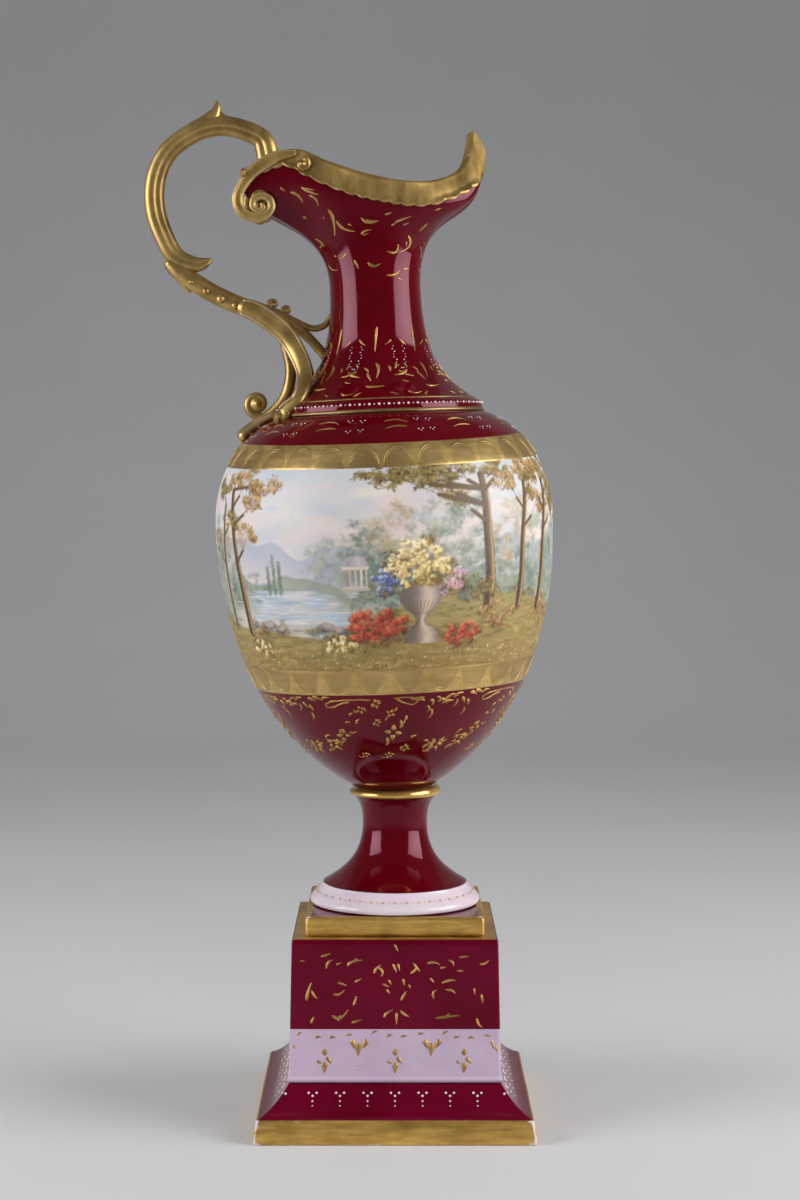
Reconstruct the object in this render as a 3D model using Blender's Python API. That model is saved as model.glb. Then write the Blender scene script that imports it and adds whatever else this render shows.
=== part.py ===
"""Porcelain ewer on a loose square pedestal.

The ewer is made of cast porcelain members that one threaded rod draws together, and it stands on a
separate pedestal. Metres, +Z up. The spout points to +X, the handle to -X, and the origin lies
under the middle of the pedestal.
"""

import math

import bmesh
import bpy
from mathutils import Vector

MM = 0.001

# Fit between pieces, and how finely round pieces are cut
GAP = 0.3 * MM
AROUND = 32
HARDWARE_SIDES = 24
TUBE_SIDES = 10

# Pedestal base: gilt edge below, hollow cove above, closed underneath
BASE_WIDTH = 112.6 * MM
BASE_EDGE_HEIGHT = 9.6 * MM
BASE_EDGE_DRAFT = 1.0 * MM
BASE_EDGE_ROUND = 0.8 * MM
COVE_HEIGHT = 11.4 * MM
BASE_FLOOR = 4.0 * MM
BASE_WALL = 6.0 * MM
BASE_SPIGOT_HEIGHT = 4.0 * MM
BASE_SPIGOT_WALL = 3.0 * MM

# Pedestal block: hollow die over the base's spigot, with a pour hole on top
BLOCK_WIDTH = 85.2 * MM
BLOCK_HEIGHT = 57.2 * MM
BLOCK_DRAFT = 1.0 * MM
BLOCK_WALL = 4.0 * MM
BLOCK_BEAD_HEIGHT = 2.5 * MM
BLOCK_BEAD_SWELL = 0.5 * MM
POUR_HOLE_DIAMETER = 26.0 * MM

# Square slab under the foot
SLAB_WIDTH = 72.6 * MM
SLAB_HEIGHT = 7.7 * MM
SLAB_ROUND = 1.2 * MM

# Moulded white ring on the slab
FOOT_RING_DIAMETER = 71.0 * MM
FOOT_RING_HEIGHT = 8.2 * MM
FOOT_RING_BORE = 52.0 * MM
FOOT_RING_LIP = 1.2 * MM

# Trumpet foot
STEM_FOOT_DIAMETER = 60.0 * MM
STEM_WAIST_DIAMETER = 27.0 * MM
STEM_TOP_DIAMETER = 34.6 * MM
STEM_HEIGHT = 36.0 * MM
STEM_FLARE_HEIGHT = 11.4 * MM
STEM_WALL = 3.5 * MM
STEM_TOP_WALL = 5.0 * MM
STEM_SPIGOT_HEIGHT = 4.0 * MM
STEM_SPIGOT_WALL = 3.0 * MM

# Burnished ring between foot and belly, cut as a wedge that takes up the lean of the body
COLLAR_DIAMETER = 38.2 * MM
COLLAR_HEIGHT = 3.0 * MM
COLLAR_BORE = 16.0 * MM
LEAN = math.radians(2.28)

# Belly
BELLY_SEAT_DIAMETER = 31.2 * MM
BELLY_DIAMETER = 141.4 * MM
BELLY_RISE = 112.3 * MM
SHOULDER_RISE = 43.4 * MM
SHOULDER_DIAMETER = 87.2 * MM
BELLY_OPENING = 76.0 * MM
BELLY_WALL = 3.5 * MM
BELLY_FLOOR = 6.5 * MM

# Neck, with the dotted moulding at its foot
MOULDING_HEIGHT = 4.4 * MM
MOULDING_DIAMETER = 86.2 * MM
NECK_FOOT_DIAMETER = 83.6 * MM
NECK_DIAMETER = 38.2 * MM
NECK_RISE = 48.8 * MM
NECK_WALL = 3.0 * MM
NECK_SPIGOT_HEIGHT = 3.0 * MM
NECK_SPIGOT_WALL = 3.0 * MM

# Mouth: half of the rim from the spout's tip to the middle of the back, as x, y and rise over the neck
SPOUT_REACH = 43.5 * MM
SPOUT_RISE = 63.4 * MM
MOUTH_HALF_WIDTH = 24.5 * MM
SIDE_RISE = 43.5 * MM
DIP_RISE = 40.8 * MM
CREST_RISE = 56.6 * MM
LOBE_REACH = 50.0 * MM
LOBE_HALF_WIDTH = 14.5 * MM
LOBE_RISE = 50.6 * MM
BACK_REACH = 44.5 * MM
BACK_RISE = 50.0 * MM

# Scroll borders on both sides of the back lobe
LIP_SCROLL_THICKNESS = 3.8 * MM
LIP_VOLUTE_RADIUS = 7.4 * MM
LIP_VOLUTE_REACH = 46.3 * MM
LIP_VOLUTE_RISE = 35.6 * MM

# Handle
ARCH_THICKNESS = 7.2 * MM
ARCH_REACH = 91.2 * MM
ARCH_RISE = 70.2 * MM
ARCH_FOOT_RISE = 14.4 * MM
THORN_HEIGHT = 8.4 * MM
THORN_WIDTH = 6.4 * MM
STEM_THICKNESS = 6.8 * MM
BRACE_THICKNESS = 3.6 * MM
LEG_THICKNESS = 6.4 * MM
LEG_SPREAD = 22.0 * MM
BACK_SCROLL_THICKNESS = 4.2 * MM
BACK_VOLUTE_RADIUS = 5.8 * MM
BACK_VOLUTE_STANDOFF = 8.2 * MM
TAB_WIDTH = 8.0 * MM
TAB_THICKNESS = 3.0 * MM
TENDRIL_THICKNESS = 2.8 * MM

# Rod, nuts and washers
ROD_DIAMETER = 5.0 * MM
ROD_CLEARANCE = 1.2 * MM
ROD_END = 2.0 * MM
NUT_ACROSS_FLATS = 9.0 * MM
NUT_HEIGHT = 4.0 * MM
WASHER_DIAMETER = 18.0 * MM
WASHER_THICKNESS = 1.2 * MM
UPPER_PAD_THICKNESS = 2.5 * MM
LOWER_PAD_THICKNESS = 1.5 * MM

# Heights of the upright stack, from the table up
base_top = BASE_EDGE_HEIGHT + COVE_HEIGHT
block_bottom = base_top + GAP
block_top = block_bottom + BLOCK_HEIGHT
slab_bottom = block_top + GAP
slab_top = slab_bottom + SLAB_HEIGHT
ring_bottom = slab_top + GAP
ring_top = ring_bottom + FOOT_RING_HEIGHT
stem_seat = ring_top + GAP
stem_top = stem_seat + STEM_HEIGHT
collar_bottom = stem_top + GAP
collar_top = collar_bottom + COLLAR_HEIGHT
belly_seat = collar_top + GAP

# Heights above the belly's seat, along the leaning axis
shoulder_top = BELLY_RISE + SHOULDER_RISE
neck_seat = shoulder_top + GAP
moulding_top = neck_seat + MOULDING_HEIGHT
neck_top = moulding_top + NECK_RISE
mouth_seat = neck_top + GAP
arch_foot = mouth_seat + ARCH_FOOT_RISE

rod_hole = ROD_DIAMETER / 2 + ROD_CLEARANCE
nut_bore = ROD_DIAMETER / 2 + GAP

for leftover in list(bpy.data.objects):
    bpy.data.objects.remove(leftover)


def finish(name, colour, roughness, metallic=0.0):
    """Principled material with one colour."""
    material = bpy.data.materials.new(name)
    material.use_nodes = True
    shader = material.node_tree.nodes["Principled BSDF"]
    shader.inputs["Base Color"].default_value = (*colour, 1.0)
    shader.inputs["Roughness"].default_value = roughness
    shader.inputs["Metallic"].default_value = metallic
    return material


CLARET = finish("claret_glaze", (0.13, 0.004, 0.018), 0.12)
WHITE = finish("white_glaze", (0.72, 0.62, 0.70), 0.18)
GILT = finish("gilding", (0.46, 0.29, 0.085), 0.34, 0.9)
STEEL = finish("rod_steel", (0.42, 0.42, 0.43), 0.4, 1.0)
BRASS = finish("nut_brass", (0.55, 0.41, 0.16), 0.35, 1.0)
LEATHER = finish("pad_leather", (0.16, 0.08, 0.035), 0.75)


def frame(name, parent=None):
    """Empty that carries a group of pieces."""
    holder = bpy.data.objects.new(name, None)
    bpy.context.scene.collection.objects.link(holder)
    holder.parent = parent
    return holder


pedestal = frame("pedestal")
ewer = frame("ewer")
body_axis = frame("body_axis", ewer)
body_axis.location.z = belly_seat
body_axis.rotation_euler.y = -LEAN


def bezier(start, first, second, end, steps):
    """Points of a cubic curve in radius and height."""
    points = []
    for step in range(steps + 1):
        t = step / steps
        shares = ((1 - t) ** 3, 3 * (1 - t) ** 2 * t, 3 * (1 - t) * t**2, t**3)
        corners = (start, first, second, end)
        points.append(tuple(sum(s * c[axis] for s, c in zip(shares, corners)) for axis in (0, 1)))
    return points


def spline(points, steps):
    """Smooth curve through points chosen by hand, each a tuple of the same length."""
    padded = [points[0], *points, points[-1]]
    curve = []
    for a, b, c, d in zip(padded, padded[1:], padded[2:], padded[3:]):
        for step in range(steps):
            t = step / steps
            weights = (-t + 2 * t**2 - t**3, 2 - 5 * t**2 + 3 * t**3, t + 4 * t**2 - 3 * t**3, t**3 - t**2)
            curve.append(tuple(sum(w * v for w, v in zip(weights, row)) / 2 for row in zip(a, b, c, d)))
    curve.append(tuple(points[-1]))
    return curve


def offset(profile, distance):
    """A rising profile moved outwards along its own normals."""
    moved = []
    for index, (radius, height) in enumerate(profile):
        before = profile[max(index - 1, 0)]
        after = profile[min(index + 1, len(profile) - 1)]
        run = math.hypot(after[0] - before[0], after[1] - before[1])
        outward = ((after[1] - before[1]) / run, (before[0] - after[0]) / run)
        moved.append((radius + distance * outward[0], height + distance * outward[1]))
    return moved


def circle(radius):
    return lambda angle: radius


def square(width):
    return lambda angle: width / 2 / max(abs(math.cos(angle)), abs(math.sin(angle)))


def hexagon(across_flats):
    sixth = math.pi / 3
    return lambda angle: across_flats / 2 / math.cos(angle % sixth - sixth / 2)


def ring(outline, height, sides=AROUND):
    """Closed loop of points at one height, its radius given by the outline at each angle."""
    angles = [2 * math.pi * side / sides for side in range(sides)]
    return [Vector((outline(a) * math.cos(a), outline(a) * math.sin(a), height)) for a in angles]


def skin(name, rings, material, parent, hollow=False):
    """Object skinned over closed loops, its ends capped or, on a hollow piece, joined to each other."""
    shell = bmesh.new()
    loops = [[shell.verts.new(point) for point in loop] for loop in rings]
    pairs = list(zip(loops, loops[1:]))
    if hollow:
        pairs.append((loops[-1], loops[0]))
    else:
        shell.faces.new(loops[0])
        shell.faces.new(loops[-1])
    for lower, upper in pairs:
        for side in range(len(lower)):
            after = (side + 1) % len(lower)
            shell.faces.new((lower[side], lower[after], upper[after], upper[side]))
    bmesh.ops.recalc_face_normals(shell, faces=shell.faces)
    mesh = bpy.data.meshes.new(name)
    shell.to_mesh(mesh)
    shell.free()
    mesh.shade_smooth()
    mesh.set_sharp_from_angle(angle=math.radians(40))
    mesh.materials.append(material)
    piece = bpy.data.objects.new(name, mesh)
    bpy.context.scene.collection.objects.link(piece)
    piece.parent = parent
    return piece


def turned(name, profile, material, parent, hollow=True, sides=AROUND):
    """Piece turned about the axis from points of radius and height."""
    rings = [ring(circle(radius), height, sides) for radius, height in profile]
    return skin(name, rings, material, parent, hollow)


def as_cutter(piece):
    """Tool body that is neither seen nor built."""
    piece.hide_render = True
    piece.display_type = "WIRE"
    return piece


def combine(piece, tool, operation="DIFFERENCE"):
    """Boolean of a piece with a tool body."""
    modifier = piece.modifiers.new(tool.name, "BOOLEAN")
    modifier.operation = operation
    modifier.solver = "EXACT"
    modifier.object = tool


def tube(name, path, material, parent, flat=1.0):
    """Tube along points of x, y, z and radius. Flat widens its section across the handle's plane."""
    rings = []
    for index, point in enumerate(path):
        centre = Vector(point[:3])
        run = Vector(path[min(index + 1, len(path) - 1)][:3]) - Vector(path[max(index - 1, 0)][:3])
        run.normalize()
        across = Vector((0, 1, 0)) - run * run.y
        across.normalize()
        upward = run.cross(across)
        turns = [2 * math.pi * side / TUBE_SIDES for side in range(TUBE_SIDES)]
        radius = point[3]
        rings.append(
            [centre + across * radius * flat * math.cos(a) + upward * radius * math.sin(a) for a in turns]
        )
    return skin(name, rings, material, parent)


def grown(path):
    """A tube's path with its radius larger by the gap, for cutting its neighbours."""
    return [(*point[:3], point[3] + GAP) for point in path]


# Pedestal base
base_half = BASE_WIDTH / 2
base_edge_half = base_half - BASE_EDGE_DRAFT
block_half = BLOCK_WIDTH / 2
spigot_half = block_half - BLOCK_WALL - GAP
spigot_inner = spigot_half - BASE_SPIGOT_WALL
cove_run = base_edge_half - BASE_EDGE_ROUND - block_half
cove = bezier(
    (base_edge_half - BASE_EDGE_ROUND, BASE_EDGE_HEIGHT),
    (block_half + 0.55 * cove_run, BASE_EDGE_HEIGHT + 0.20 * COVE_HEIGHT),
    (block_half + 0.26 * cove_run, BASE_EDGE_HEIGHT + 0.60 * COVE_HEIGHT),
    (block_half, base_top),
    6,
)
base_profile = [
    (base_half - BASE_EDGE_ROUND, 0.0),
    (base_half, BASE_EDGE_ROUND),
    (base_edge_half, BASE_EDGE_HEIGHT - BASE_EDGE_ROUND),
    *cove,
    (spigot_half, base_top),
    (spigot_half, base_top + BASE_SPIGOT_HEIGHT),
    (spigot_inner, base_top + BASE_SPIGOT_HEIGHT),
    (spigot_inner, base_top - BASE_WALL),
    (base_edge_half - BASE_WALL, BASE_EDGE_HEIGHT - BASE_EDGE_ROUND),
    (base_edge_half - BASE_WALL, BASE_FLOOR),
]
skin("pedestal_base", [ring(square(2 * half), z) for half, z in base_profile], CLARET, pedestal)

# Pedestal block
block_top_half = block_half - BLOCK_DRAFT
block_inner = block_half - BLOCK_WALL
pour_hole = POUR_HOLE_DIAMETER / 2
block_rings = [
    ring(square(2 * block_inner), block_bottom),
    ring(square(2 * block_half), block_bottom),
    ring(square(2 * (block_half + BLOCK_BEAD_SWELL)), block_bottom + BLOCK_BEAD_HEIGHT / 2),
    ring(square(2 * block_half), block_bottom + BLOCK_BEAD_HEIGHT),
    ring(square(2 * block_top_half), block_top),
    ring(circle(pour_hole), block_top),
    ring(circle(pour_hole), block_top - BLOCK_WALL),
    ring(square(2 * (block_inner - BLOCK_DRAFT)), block_top - BLOCK_WALL),
]
skin("pedestal_block", block_rings, CLARET, pedestal, hollow=True)

# Square slab
slab_half = SLAB_WIDTH / 2
slab_profile = [
    (slab_half - SLAB_ROUND, slab_bottom),
    (slab_half, slab_bottom + SLAB_ROUND),
    (slab_half, slab_top - SLAB_ROUND),
    (slab_half - SLAB_ROUND, slab_top),
]
slab_rings = [
    ring(circle(rod_hole), slab_bottom),
    *[ring(square(2 * half), z) for half, z in slab_profile],
    ring(circle(rod_hole), slab_top),
]
skin("plinth_slab", slab_rings, GILT, ewer, hollow=True)

# Foot ring
foot_radius = FOOT_RING_DIAMETER / 2
foot_top_radius = STEM_FOOT_DIAMETER / 2
foot_bore = FOOT_RING_BORE / 2
foot_profile = [
    (foot_bore, ring_bottom),
    (foot_radius - FOOT_RING_LIP, ring_bottom),
    *bezier(
        (foot_radius, ring_bottom + FOOT_RING_LIP),
        (foot_radius, ring_bottom + 0.45 * FOOT_RING_HEIGHT),
        (foot_top_radius + FOOT_RING_LIP, ring_bottom + 0.65 * FOOT_RING_HEIGHT),
        (foot_top_radius, ring_top),
        4,
    ),
    (foot_bore, ring_top),
]
turned("foot_ring", foot_profile, WHITE, ewer)

# Trumpet foot: its spigot enters the ring, its top carries the collar
stem_foot = STEM_FOOT_DIAMETER / 2
stem_waist = STEM_WAIST_DIAMETER / 2
stem_head = STEM_TOP_DIAMETER / 2
stem_spigot = foot_bore - GAP
stem_inner = stem_spigot - STEM_SPIGOT_WALL
waist_height = stem_top - STEM_FLARE_HEIGHT
waist_rise = waist_height - stem_seat
trumpet = bezier(
    (stem_foot, stem_seat),
    (stem_waist + 0.37 * (stem_foot - stem_waist), stem_seat + 0.24 * waist_rise),
    (stem_waist, stem_seat + 0.50 * waist_rise),
    (stem_waist, waist_height),
    8,
)
flare = bezier(
    (stem_waist, waist_height),
    (stem_waist, waist_height + 0.5 * STEM_FLARE_HEIGHT),
    (stem_waist + 0.4 * (stem_head - stem_waist), stem_top - 0.2 * STEM_FLARE_HEIGHT),
    (stem_head, stem_top),
    4,
)
hollow_top = stem_top - STEM_TOP_WALL
trumpet_inside = [
    (radius, height)
    for radius, height in offset(trumpet, -STEM_WALL)
    if radius < stem_inner and height < hollow_top
]
stem_profile = [
    (stem_inner, stem_seat - STEM_SPIGOT_HEIGHT),
    (stem_spigot, stem_seat - STEM_SPIGOT_HEIGHT),
    (stem_spigot, stem_seat),
    *trumpet,
    *flare[1:],
    (rod_hole, stem_top),
    (rod_hole, hollow_top),
    (stem_waist - STEM_WALL, hollow_top),
    *reversed(trumpet_inside),
]
turned("foot_stem", stem_profile, CLARET, ewer)


def tilted(loop, share):
    """Loop whose height follows the leaning axis by a share."""
    return [Vector((p.x, p.y, p.z + share * p.x * math.tan(LEAN))) for p in loop]


# Collar ring: flat below, tilted on top
collar_radius = COLLAR_DIAMETER / 2
bead = COLLAR_HEIGHT / 2
collar_rings = [ring(circle(COLLAR_BORE / 2), collar_bottom)]
for step in range(7):
    angle = math.pi * step / 6
    share = (1 - math.cos(angle)) / 2
    bulge = circle(collar_radius - bead + bead * math.sin(angle))
    collar_rings.append(tilted(ring(bulge, collar_bottom + share * COLLAR_HEIGHT), share))
collar_rings.append(tilted(ring(circle(COLLAR_BORE / 2), collar_top), 1.0))
skin("collar_ring", collar_rings, GILT, ewer, hollow=True)

# Belly: pear-shaped shell with a floor for the rod's washer and a wide opening for the neck
belly_foot = BELLY_SEAT_DIAMETER / 2
belly_radius = BELLY_DIAMETER / 2
shoulder_radius = SHOULDER_DIAMETER / 2
belly_opening = BELLY_OPENING / 2
lower_belly = bezier(
    (belly_foot, 0.0),
    (belly_foot + 0.509 * (belly_radius - belly_foot), 0.136 * BELLY_RISE),
    (belly_radius, 0.456 * BELLY_RISE),
    (belly_radius, BELLY_RISE),
    9,
)
shoulder = bezier(
    (belly_radius, BELLY_RISE),
    (belly_radius, BELLY_RISE + 0.459 * SHOULDER_RISE),
    (shoulder_radius + 0.598 * (belly_radius - shoulder_radius), BELLY_RISE + 0.880 * SHOULDER_RISE),
    (shoulder_radius, shoulder_top),
    7,
)
belly_outside = lower_belly + shoulder[1:]
lip_underside = shoulder_top - BELLY_WALL
belly_inside = [
    (radius, height)
    for radius, height in offset(belly_outside, -BELLY_WALL)
    if height > BELLY_FLOOR and (radius > shoulder_radius or height < BELLY_RISE)
]
belly_profile = [
    (rod_hole, 0.0),
    *belly_outside,
    (belly_opening, shoulder_top),
    (belly_opening, lip_underside),
    *reversed(belly_inside),
    (belly_inside[0][0] - BELLY_WALL, BELLY_FLOOR),
    (rod_hole, BELLY_FLOOR),
]
turned("belly", belly_profile, CLARET, body_axis)

# Neck: spigot in the belly's opening, dotted moulding, waisted tube
moulding_radius = MOULDING_DIAMETER / 2
neck_foot = NECK_FOOT_DIAMETER / 2
neck_radius = NECK_DIAMETER / 2
neck_spigot = belly_opening - GAP
neck_spigot_inner = neck_spigot - NECK_SPIGOT_WALL
neck_tube = bezier(
    (neck_foot, moulding_top),
    (neck_radius + 0.391 * (neck_foot - neck_radius), moulding_top + 0.171 * NECK_RISE),
    (neck_radius, moulding_top + 0.361 * NECK_RISE),
    (neck_radius, neck_top),
    9,
)
neck_inside = [point for point in offset(neck_tube, -NECK_WALL) if point[0] < neck_spigot_inner]
neck_profile = [
    (neck_spigot_inner, neck_seat - NECK_SPIGOT_HEIGHT),
    (neck_spigot, neck_seat - NECK_SPIGOT_HEIGHT),
    (neck_spigot, neck_seat),
    (shoulder_radius, neck_seat),
    (moulding_radius, neck_seat + 0.3 * MOULDING_HEIGHT),
    (moulding_radius, neck_seat + 0.7 * MOULDING_HEIGHT),
    *neck_tube,
    *reversed(neck_inside),
]
turned("neck", neck_profile, CLARET, body_axis)

# Envelope of belly and neck, larger by the gap, that seats the handle's ends
neck_envelope = offset(neck_tube, GAP)
envelope_profile = [
    *offset(belly_outside, GAP),
    (shoulder_radius + GAP, neck_seat),
    (moulding_radius + GAP, neck_seat + 0.3 * MOULDING_HEIGHT),
    (moulding_radius + GAP, neck_seat + 0.7 * MOULDING_HEIGHT),
    *neck_envelope,
]
envelope = as_cutter(turned("body_envelope", envelope_profile, CLARET, body_axis, hollow=False))

# Mouth: flared shell, drawn out to a spout in front and to two lobes beside the handle at the back
half_rim = spline(
    [
        (SPOUT_REACH, 0.0, SPOUT_RISE),
        (0.91 * SPOUT_REACH, 0.33 * MOUTH_HALF_WIDTH, SPOUT_RISE - 0.62 * (SPOUT_RISE - DIP_RISE)),
        (0.71 * SPOUT_REACH, 0.63 * MOUTH_HALF_WIDTH, SPOUT_RISE - 0.91 * (SPOUT_RISE - DIP_RISE)),
        (0.41 * SPOUT_REACH, 0.88 * MOUTH_HALF_WIDTH, DIP_RISE),
        (0.0, MOUTH_HALF_WIDTH, SIDE_RISE),
        (-0.36 * LOBE_REACH, 0.84 * MOUTH_HALF_WIDTH, SIDE_RISE + 0.56 * (CREST_RISE - SIDE_RISE)),
        (-0.60 * LOBE_REACH, 1.19 * LOBE_HALF_WIDTH, CREST_RISE),
        (-0.84 * LOBE_REACH, 1.07 * LOBE_HALF_WIDTH, CREST_RISE - 0.35 * (CREST_RISE - LOBE_RISE)),
        (-LOBE_REACH, LOBE_HALF_WIDTH, LOBE_RISE),
        (-0.5 * (LOBE_REACH + BACK_REACH) - 0.06 * BACK_REACH, 0.6 * LOBE_HALF_WIDTH, BACK_RISE),
        (-BACK_REACH, 0.0, BACK_RISE),
    ],
    2,
)
rim = [(x, -y, rise) for x, y, rise in half_rim] + [(x, y, rise) for x, y, rise in half_rim[-2:0:-1]]


def mouth_rings(growth):
    """Loops of the mouth's shell, outside from neck to rim and inside back down."""
    columns = []
    for x, y, rise in rim:
        angle = math.atan2(y, x)
        reach = math.hypot(x, y)
        front = max(math.cos(angle), 0.0) ** 3
        back = min(math.cos(angle), 0.0) ** 2
        side = 1 - front - back
        lift = front * 0.60 * SPOUT_RISE + side * 0.50 * SIDE_RISE + back * 0.68 * BACK_RISE
        swell = front * 0.44 * SPOUT_REACH - side * 0.12 * MOUTH_HALF_WIDTH + back * 0.32 * BACK_REACH
        drop = front * 0.38 * SPOUT_RISE + side * 0.28 * SIDE_RISE + back * 0.46 * BACK_RISE
        wall = bezier(
            (neck_radius, mouth_seat),
            (neck_radius, mouth_seat + lift),
            (reach + swell, mouth_seat + rise - drop),
            (reach, mouth_seat + rise),
            8,
        )
        last = Vector(wall[-1])
        wall[-1] = tuple(last + growth * (last - Vector(wall[-2])).normalized())
        section = offset(wall, growth) + offset(wall, -NECK_WALL - growth)[::-1]
        columns.append([Vector((r * math.cos(angle), r * math.sin(angle), z)) for r, z in section])
    return [list(loop) for loop in zip(*columns)]


skin("mouth", mouth_rings(0.0), CLARET, body_axis, hollow=True)
mouth_envelope = as_cutter(skin("mouth_envelope", mouth_rings(GAP), CLARET, body_axis, hollow=True))


def volute(centre, radius, start, sweep, thickness, haste, points=12):
    """Spiral in the handle's plane, as x, z and radius of the tube. Less haste winds in sooner."""
    spiral = []
    for step in range(points + 1):
        share = step / points
        angle = math.radians(start + sweep * share)
        arm = radius * (1 - 0.80 * share**haste)
        x = centre[0] + arm * math.cos(angle)
        z = centre[1] + arm * math.sin(angle)
        spiral.append((x, z, thickness / 2 * (1 - 0.45 * share)))
    return spiral


# Scroll borders beside the back lobe, from the rim's crest round the lobe into a volute
scroll_half = LIP_SCROLL_THICKNESS / 2
lip_volute_centre = (-LIP_VOLUTE_REACH, mouth_seat + LIP_VOLUTE_RISE)
lip_side = LOBE_HALF_WIDTH + scroll_half
crest_side = 1.19 * LOBE_HALF_WIDTH + 0.75 * scroll_half
lip_start = [
    (-0.63 * LOBE_REACH, crest_side, mouth_seat + CREST_RISE - 0.8 * scroll_half, 0.6 * scroll_half),
    (-0.78 * LOBE_REACH, lip_side + 0.5 * scroll_half, mouth_seat + CREST_RISE - scroll_half, scroll_half),
    (-0.94 * LOBE_REACH, lip_side, mouth_seat + LOBE_RISE + 0.3 * scroll_half, scroll_half),
    (-1.06 * LOBE_REACH, lip_side, mouth_seat + LOBE_RISE - 2.8 * scroll_half, scroll_half),
]
lip_volute = volute(lip_volute_centre, LIP_VOLUTE_RADIUS + scroll_half, 165, 385, LIP_SCROLL_THICKNESS, 0.6)
lip_half = spline(lip_start, 3) + [(x, lip_side + GAP, z, radius) for x, z, radius in lip_volute]
for side_name, side_sign in (("near", -1), ("far", 1)):
    lip_path = [(x, side_sign * y, z, radius) for x, y, z, radius in lip_half]
    combine(tube(f"lip_scroll_{side_name}", lip_path, GILT, body_axis), mouth_envelope)


def between(share):
    """Height between the belly's shoulder and the foot of the handle's arch."""
    return shoulder_top + share * (arch_foot - shoulder_top)


# Arch of the handle, from the middle of the back rim over and down to a leaf tip, with a thorn on top
arch_half = ARCH_THICKNESS / 2
arch_points = [
    (-BACK_REACH + 0.5 * NECK_WALL, BACK_RISE - 0.8 * arch_half, 0.95),
    (-BACK_REACH + 0.5 * NECK_WALL, BACK_RISE + 0.12 * ARCH_RISE, 1.1),
    (-0.51 * ARCH_REACH, 0.93 * ARCH_RISE, 1.0),
    (-0.66 * ARCH_REACH, ARCH_RISE, 1.0),
    (-0.80 * ARCH_REACH, 0.97 * ARCH_RISE, 1.0),
    (-0.93 * ARCH_REACH, 0.855 * ARCH_RISE, 1.0),
    (-0.992 * ARCH_REACH, 0.69 * ARCH_RISE, 1.0),
    (-0.997 * ARCH_REACH, 0.50 * ARCH_RISE, 1.0),
    (-0.95 * ARCH_REACH, 0.31 * ARCH_RISE, 0.95),
    (-0.90 * ARCH_REACH, ARCH_FOOT_RISE + 0.25 * arch_half, 0.75),
    (-0.82 * ARCH_REACH, ARCH_FOOT_RISE - 0.6 * arch_half, 0.55),
    (-0.75 * ARCH_REACH, ARCH_FOOT_RISE - 0.2 * arch_half, 0.2),
]
arch_path = spline([(x, 0.0, mouth_seat + z, share * arch_half) for x, z, share in arch_points], 2)
thorn_foot = mouth_seat + ARCH_RISE
thorn_path = spline(
    [
        (-0.71 * ARCH_REACH, 0.0, thorn_foot, THORN_WIDTH / 2),
        (-0.71 * ARCH_REACH, 0.0, thorn_foot + arch_half + 0.3 * THORN_HEIGHT, 0.4 * THORN_WIDTH),
        (-0.705 * ARCH_REACH, 0.0, thorn_foot + arch_half + THORN_HEIGHT - 0.5 * arch_half, 0.1 * THORN_WIDTH),
    ],
    2,
)
arch = tube("handle_arch", arch_path, GILT, body_axis)
combine(arch, as_cutter(tube("thorn", thorn_path, GILT, body_axis)), "UNION")
combine(arch, mouth_envelope)
arch_tool = as_cutter(tube("arch_tool", grown(arch_path), GILT, body_axis))

# Lower stem of the handle, running on as a brace to the neck
stem_half = STEM_THICKNESS / 2
brace_half = BRACE_THICKNESS / 2
brace_reach = neck_radius + 0.05 * (neck_foot - neck_radius)
stem_path = spline(
    [
        (-0.945 * ARCH_REACH, 0.0, between(0.99), 0.7 * stem_half),
        (-0.885 * ARCH_REACH, 0.0, between(0.915), stem_half),
        (-0.76 * ARCH_REACH, 0.0, between(0.80), stem_half),
        (-0.63 * ARCH_REACH, 0.0, between(0.71), stem_half),
        (-0.55 * ARCH_REACH, 0.0, between(0.68), 0.9 * stem_half),
        (-neck_foot, 0.0, between(0.63), 1.2 * brace_half),
        (-0.5 * (neck_foot + neck_radius), 0.0, between(0.52), brace_half),
        (-brace_reach, 0.0, between(0.34), brace_half),
    ],
    3,
)
handle_stem = tube("handle_stem", stem_path, GILT, body_axis)
combine(handle_stem, arch_tool)
combine(handle_stem, envelope)
stem_tool = as_cutter(tube("stem_tool", grown(stem_path), GILT, body_axis))

# Leaf legs on both sides of the stem, following the neck down to its foot
leg_half = LEG_THICKNESS / 2
leg_top_side = stem_half + leg_half + GAP


def neck_surface(height):
    """Outer radius of the neck at a height."""
    for (low_radius, low), (high_radius, high) in zip(neck_tube, neck_tube[1:]):
        if height <= high:
            return low_radius + (high_radius - low_radius) * (height - low) / (high - low)
    return neck_radius


def leg_point(share, side, stand, thickness):
    """Point of a leg that stands off the neck by a distance, at a sideways place."""
    height = between(share)
    return (-math.sqrt((neck_surface(height) + stand) ** 2 - side**2), side, height, thickness)


leg_half_path = spline(
    [
        (-0.60 * ARCH_REACH, leg_top_side, between(0.675), 0.55 * leg_half),
        (-0.52 * ARCH_REACH, leg_top_side, between(0.648), leg_half),
        (-0.95 * neck_foot, leg_top_side, between(0.54), leg_half),
        leg_point(0.40, leg_top_side + 0.15 * (LEG_SPREAD - leg_top_side), 4.0 * leg_half, leg_half),
        leg_point(0.24, leg_top_side + 0.55 * (LEG_SPREAD - leg_top_side), 1.9 * leg_half, 0.95 * leg_half),
        leg_point(0.11, LEG_SPREAD, 0.75 * leg_half, leg_half),
        leg_point(0.02, LEG_SPREAD, 0.75 * leg_half, 0.9 * leg_half),
    ],
    2,
)
for side_name, side_sign in (("near", -1), ("far", 1)):
    leg_path = [(x, side_sign * y, z, radius) for x, y, z, radius in leg_half_path]
    combine(tube(f"handle_leg_{side_name}", leg_path, GILT, body_axis), envelope)

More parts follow.
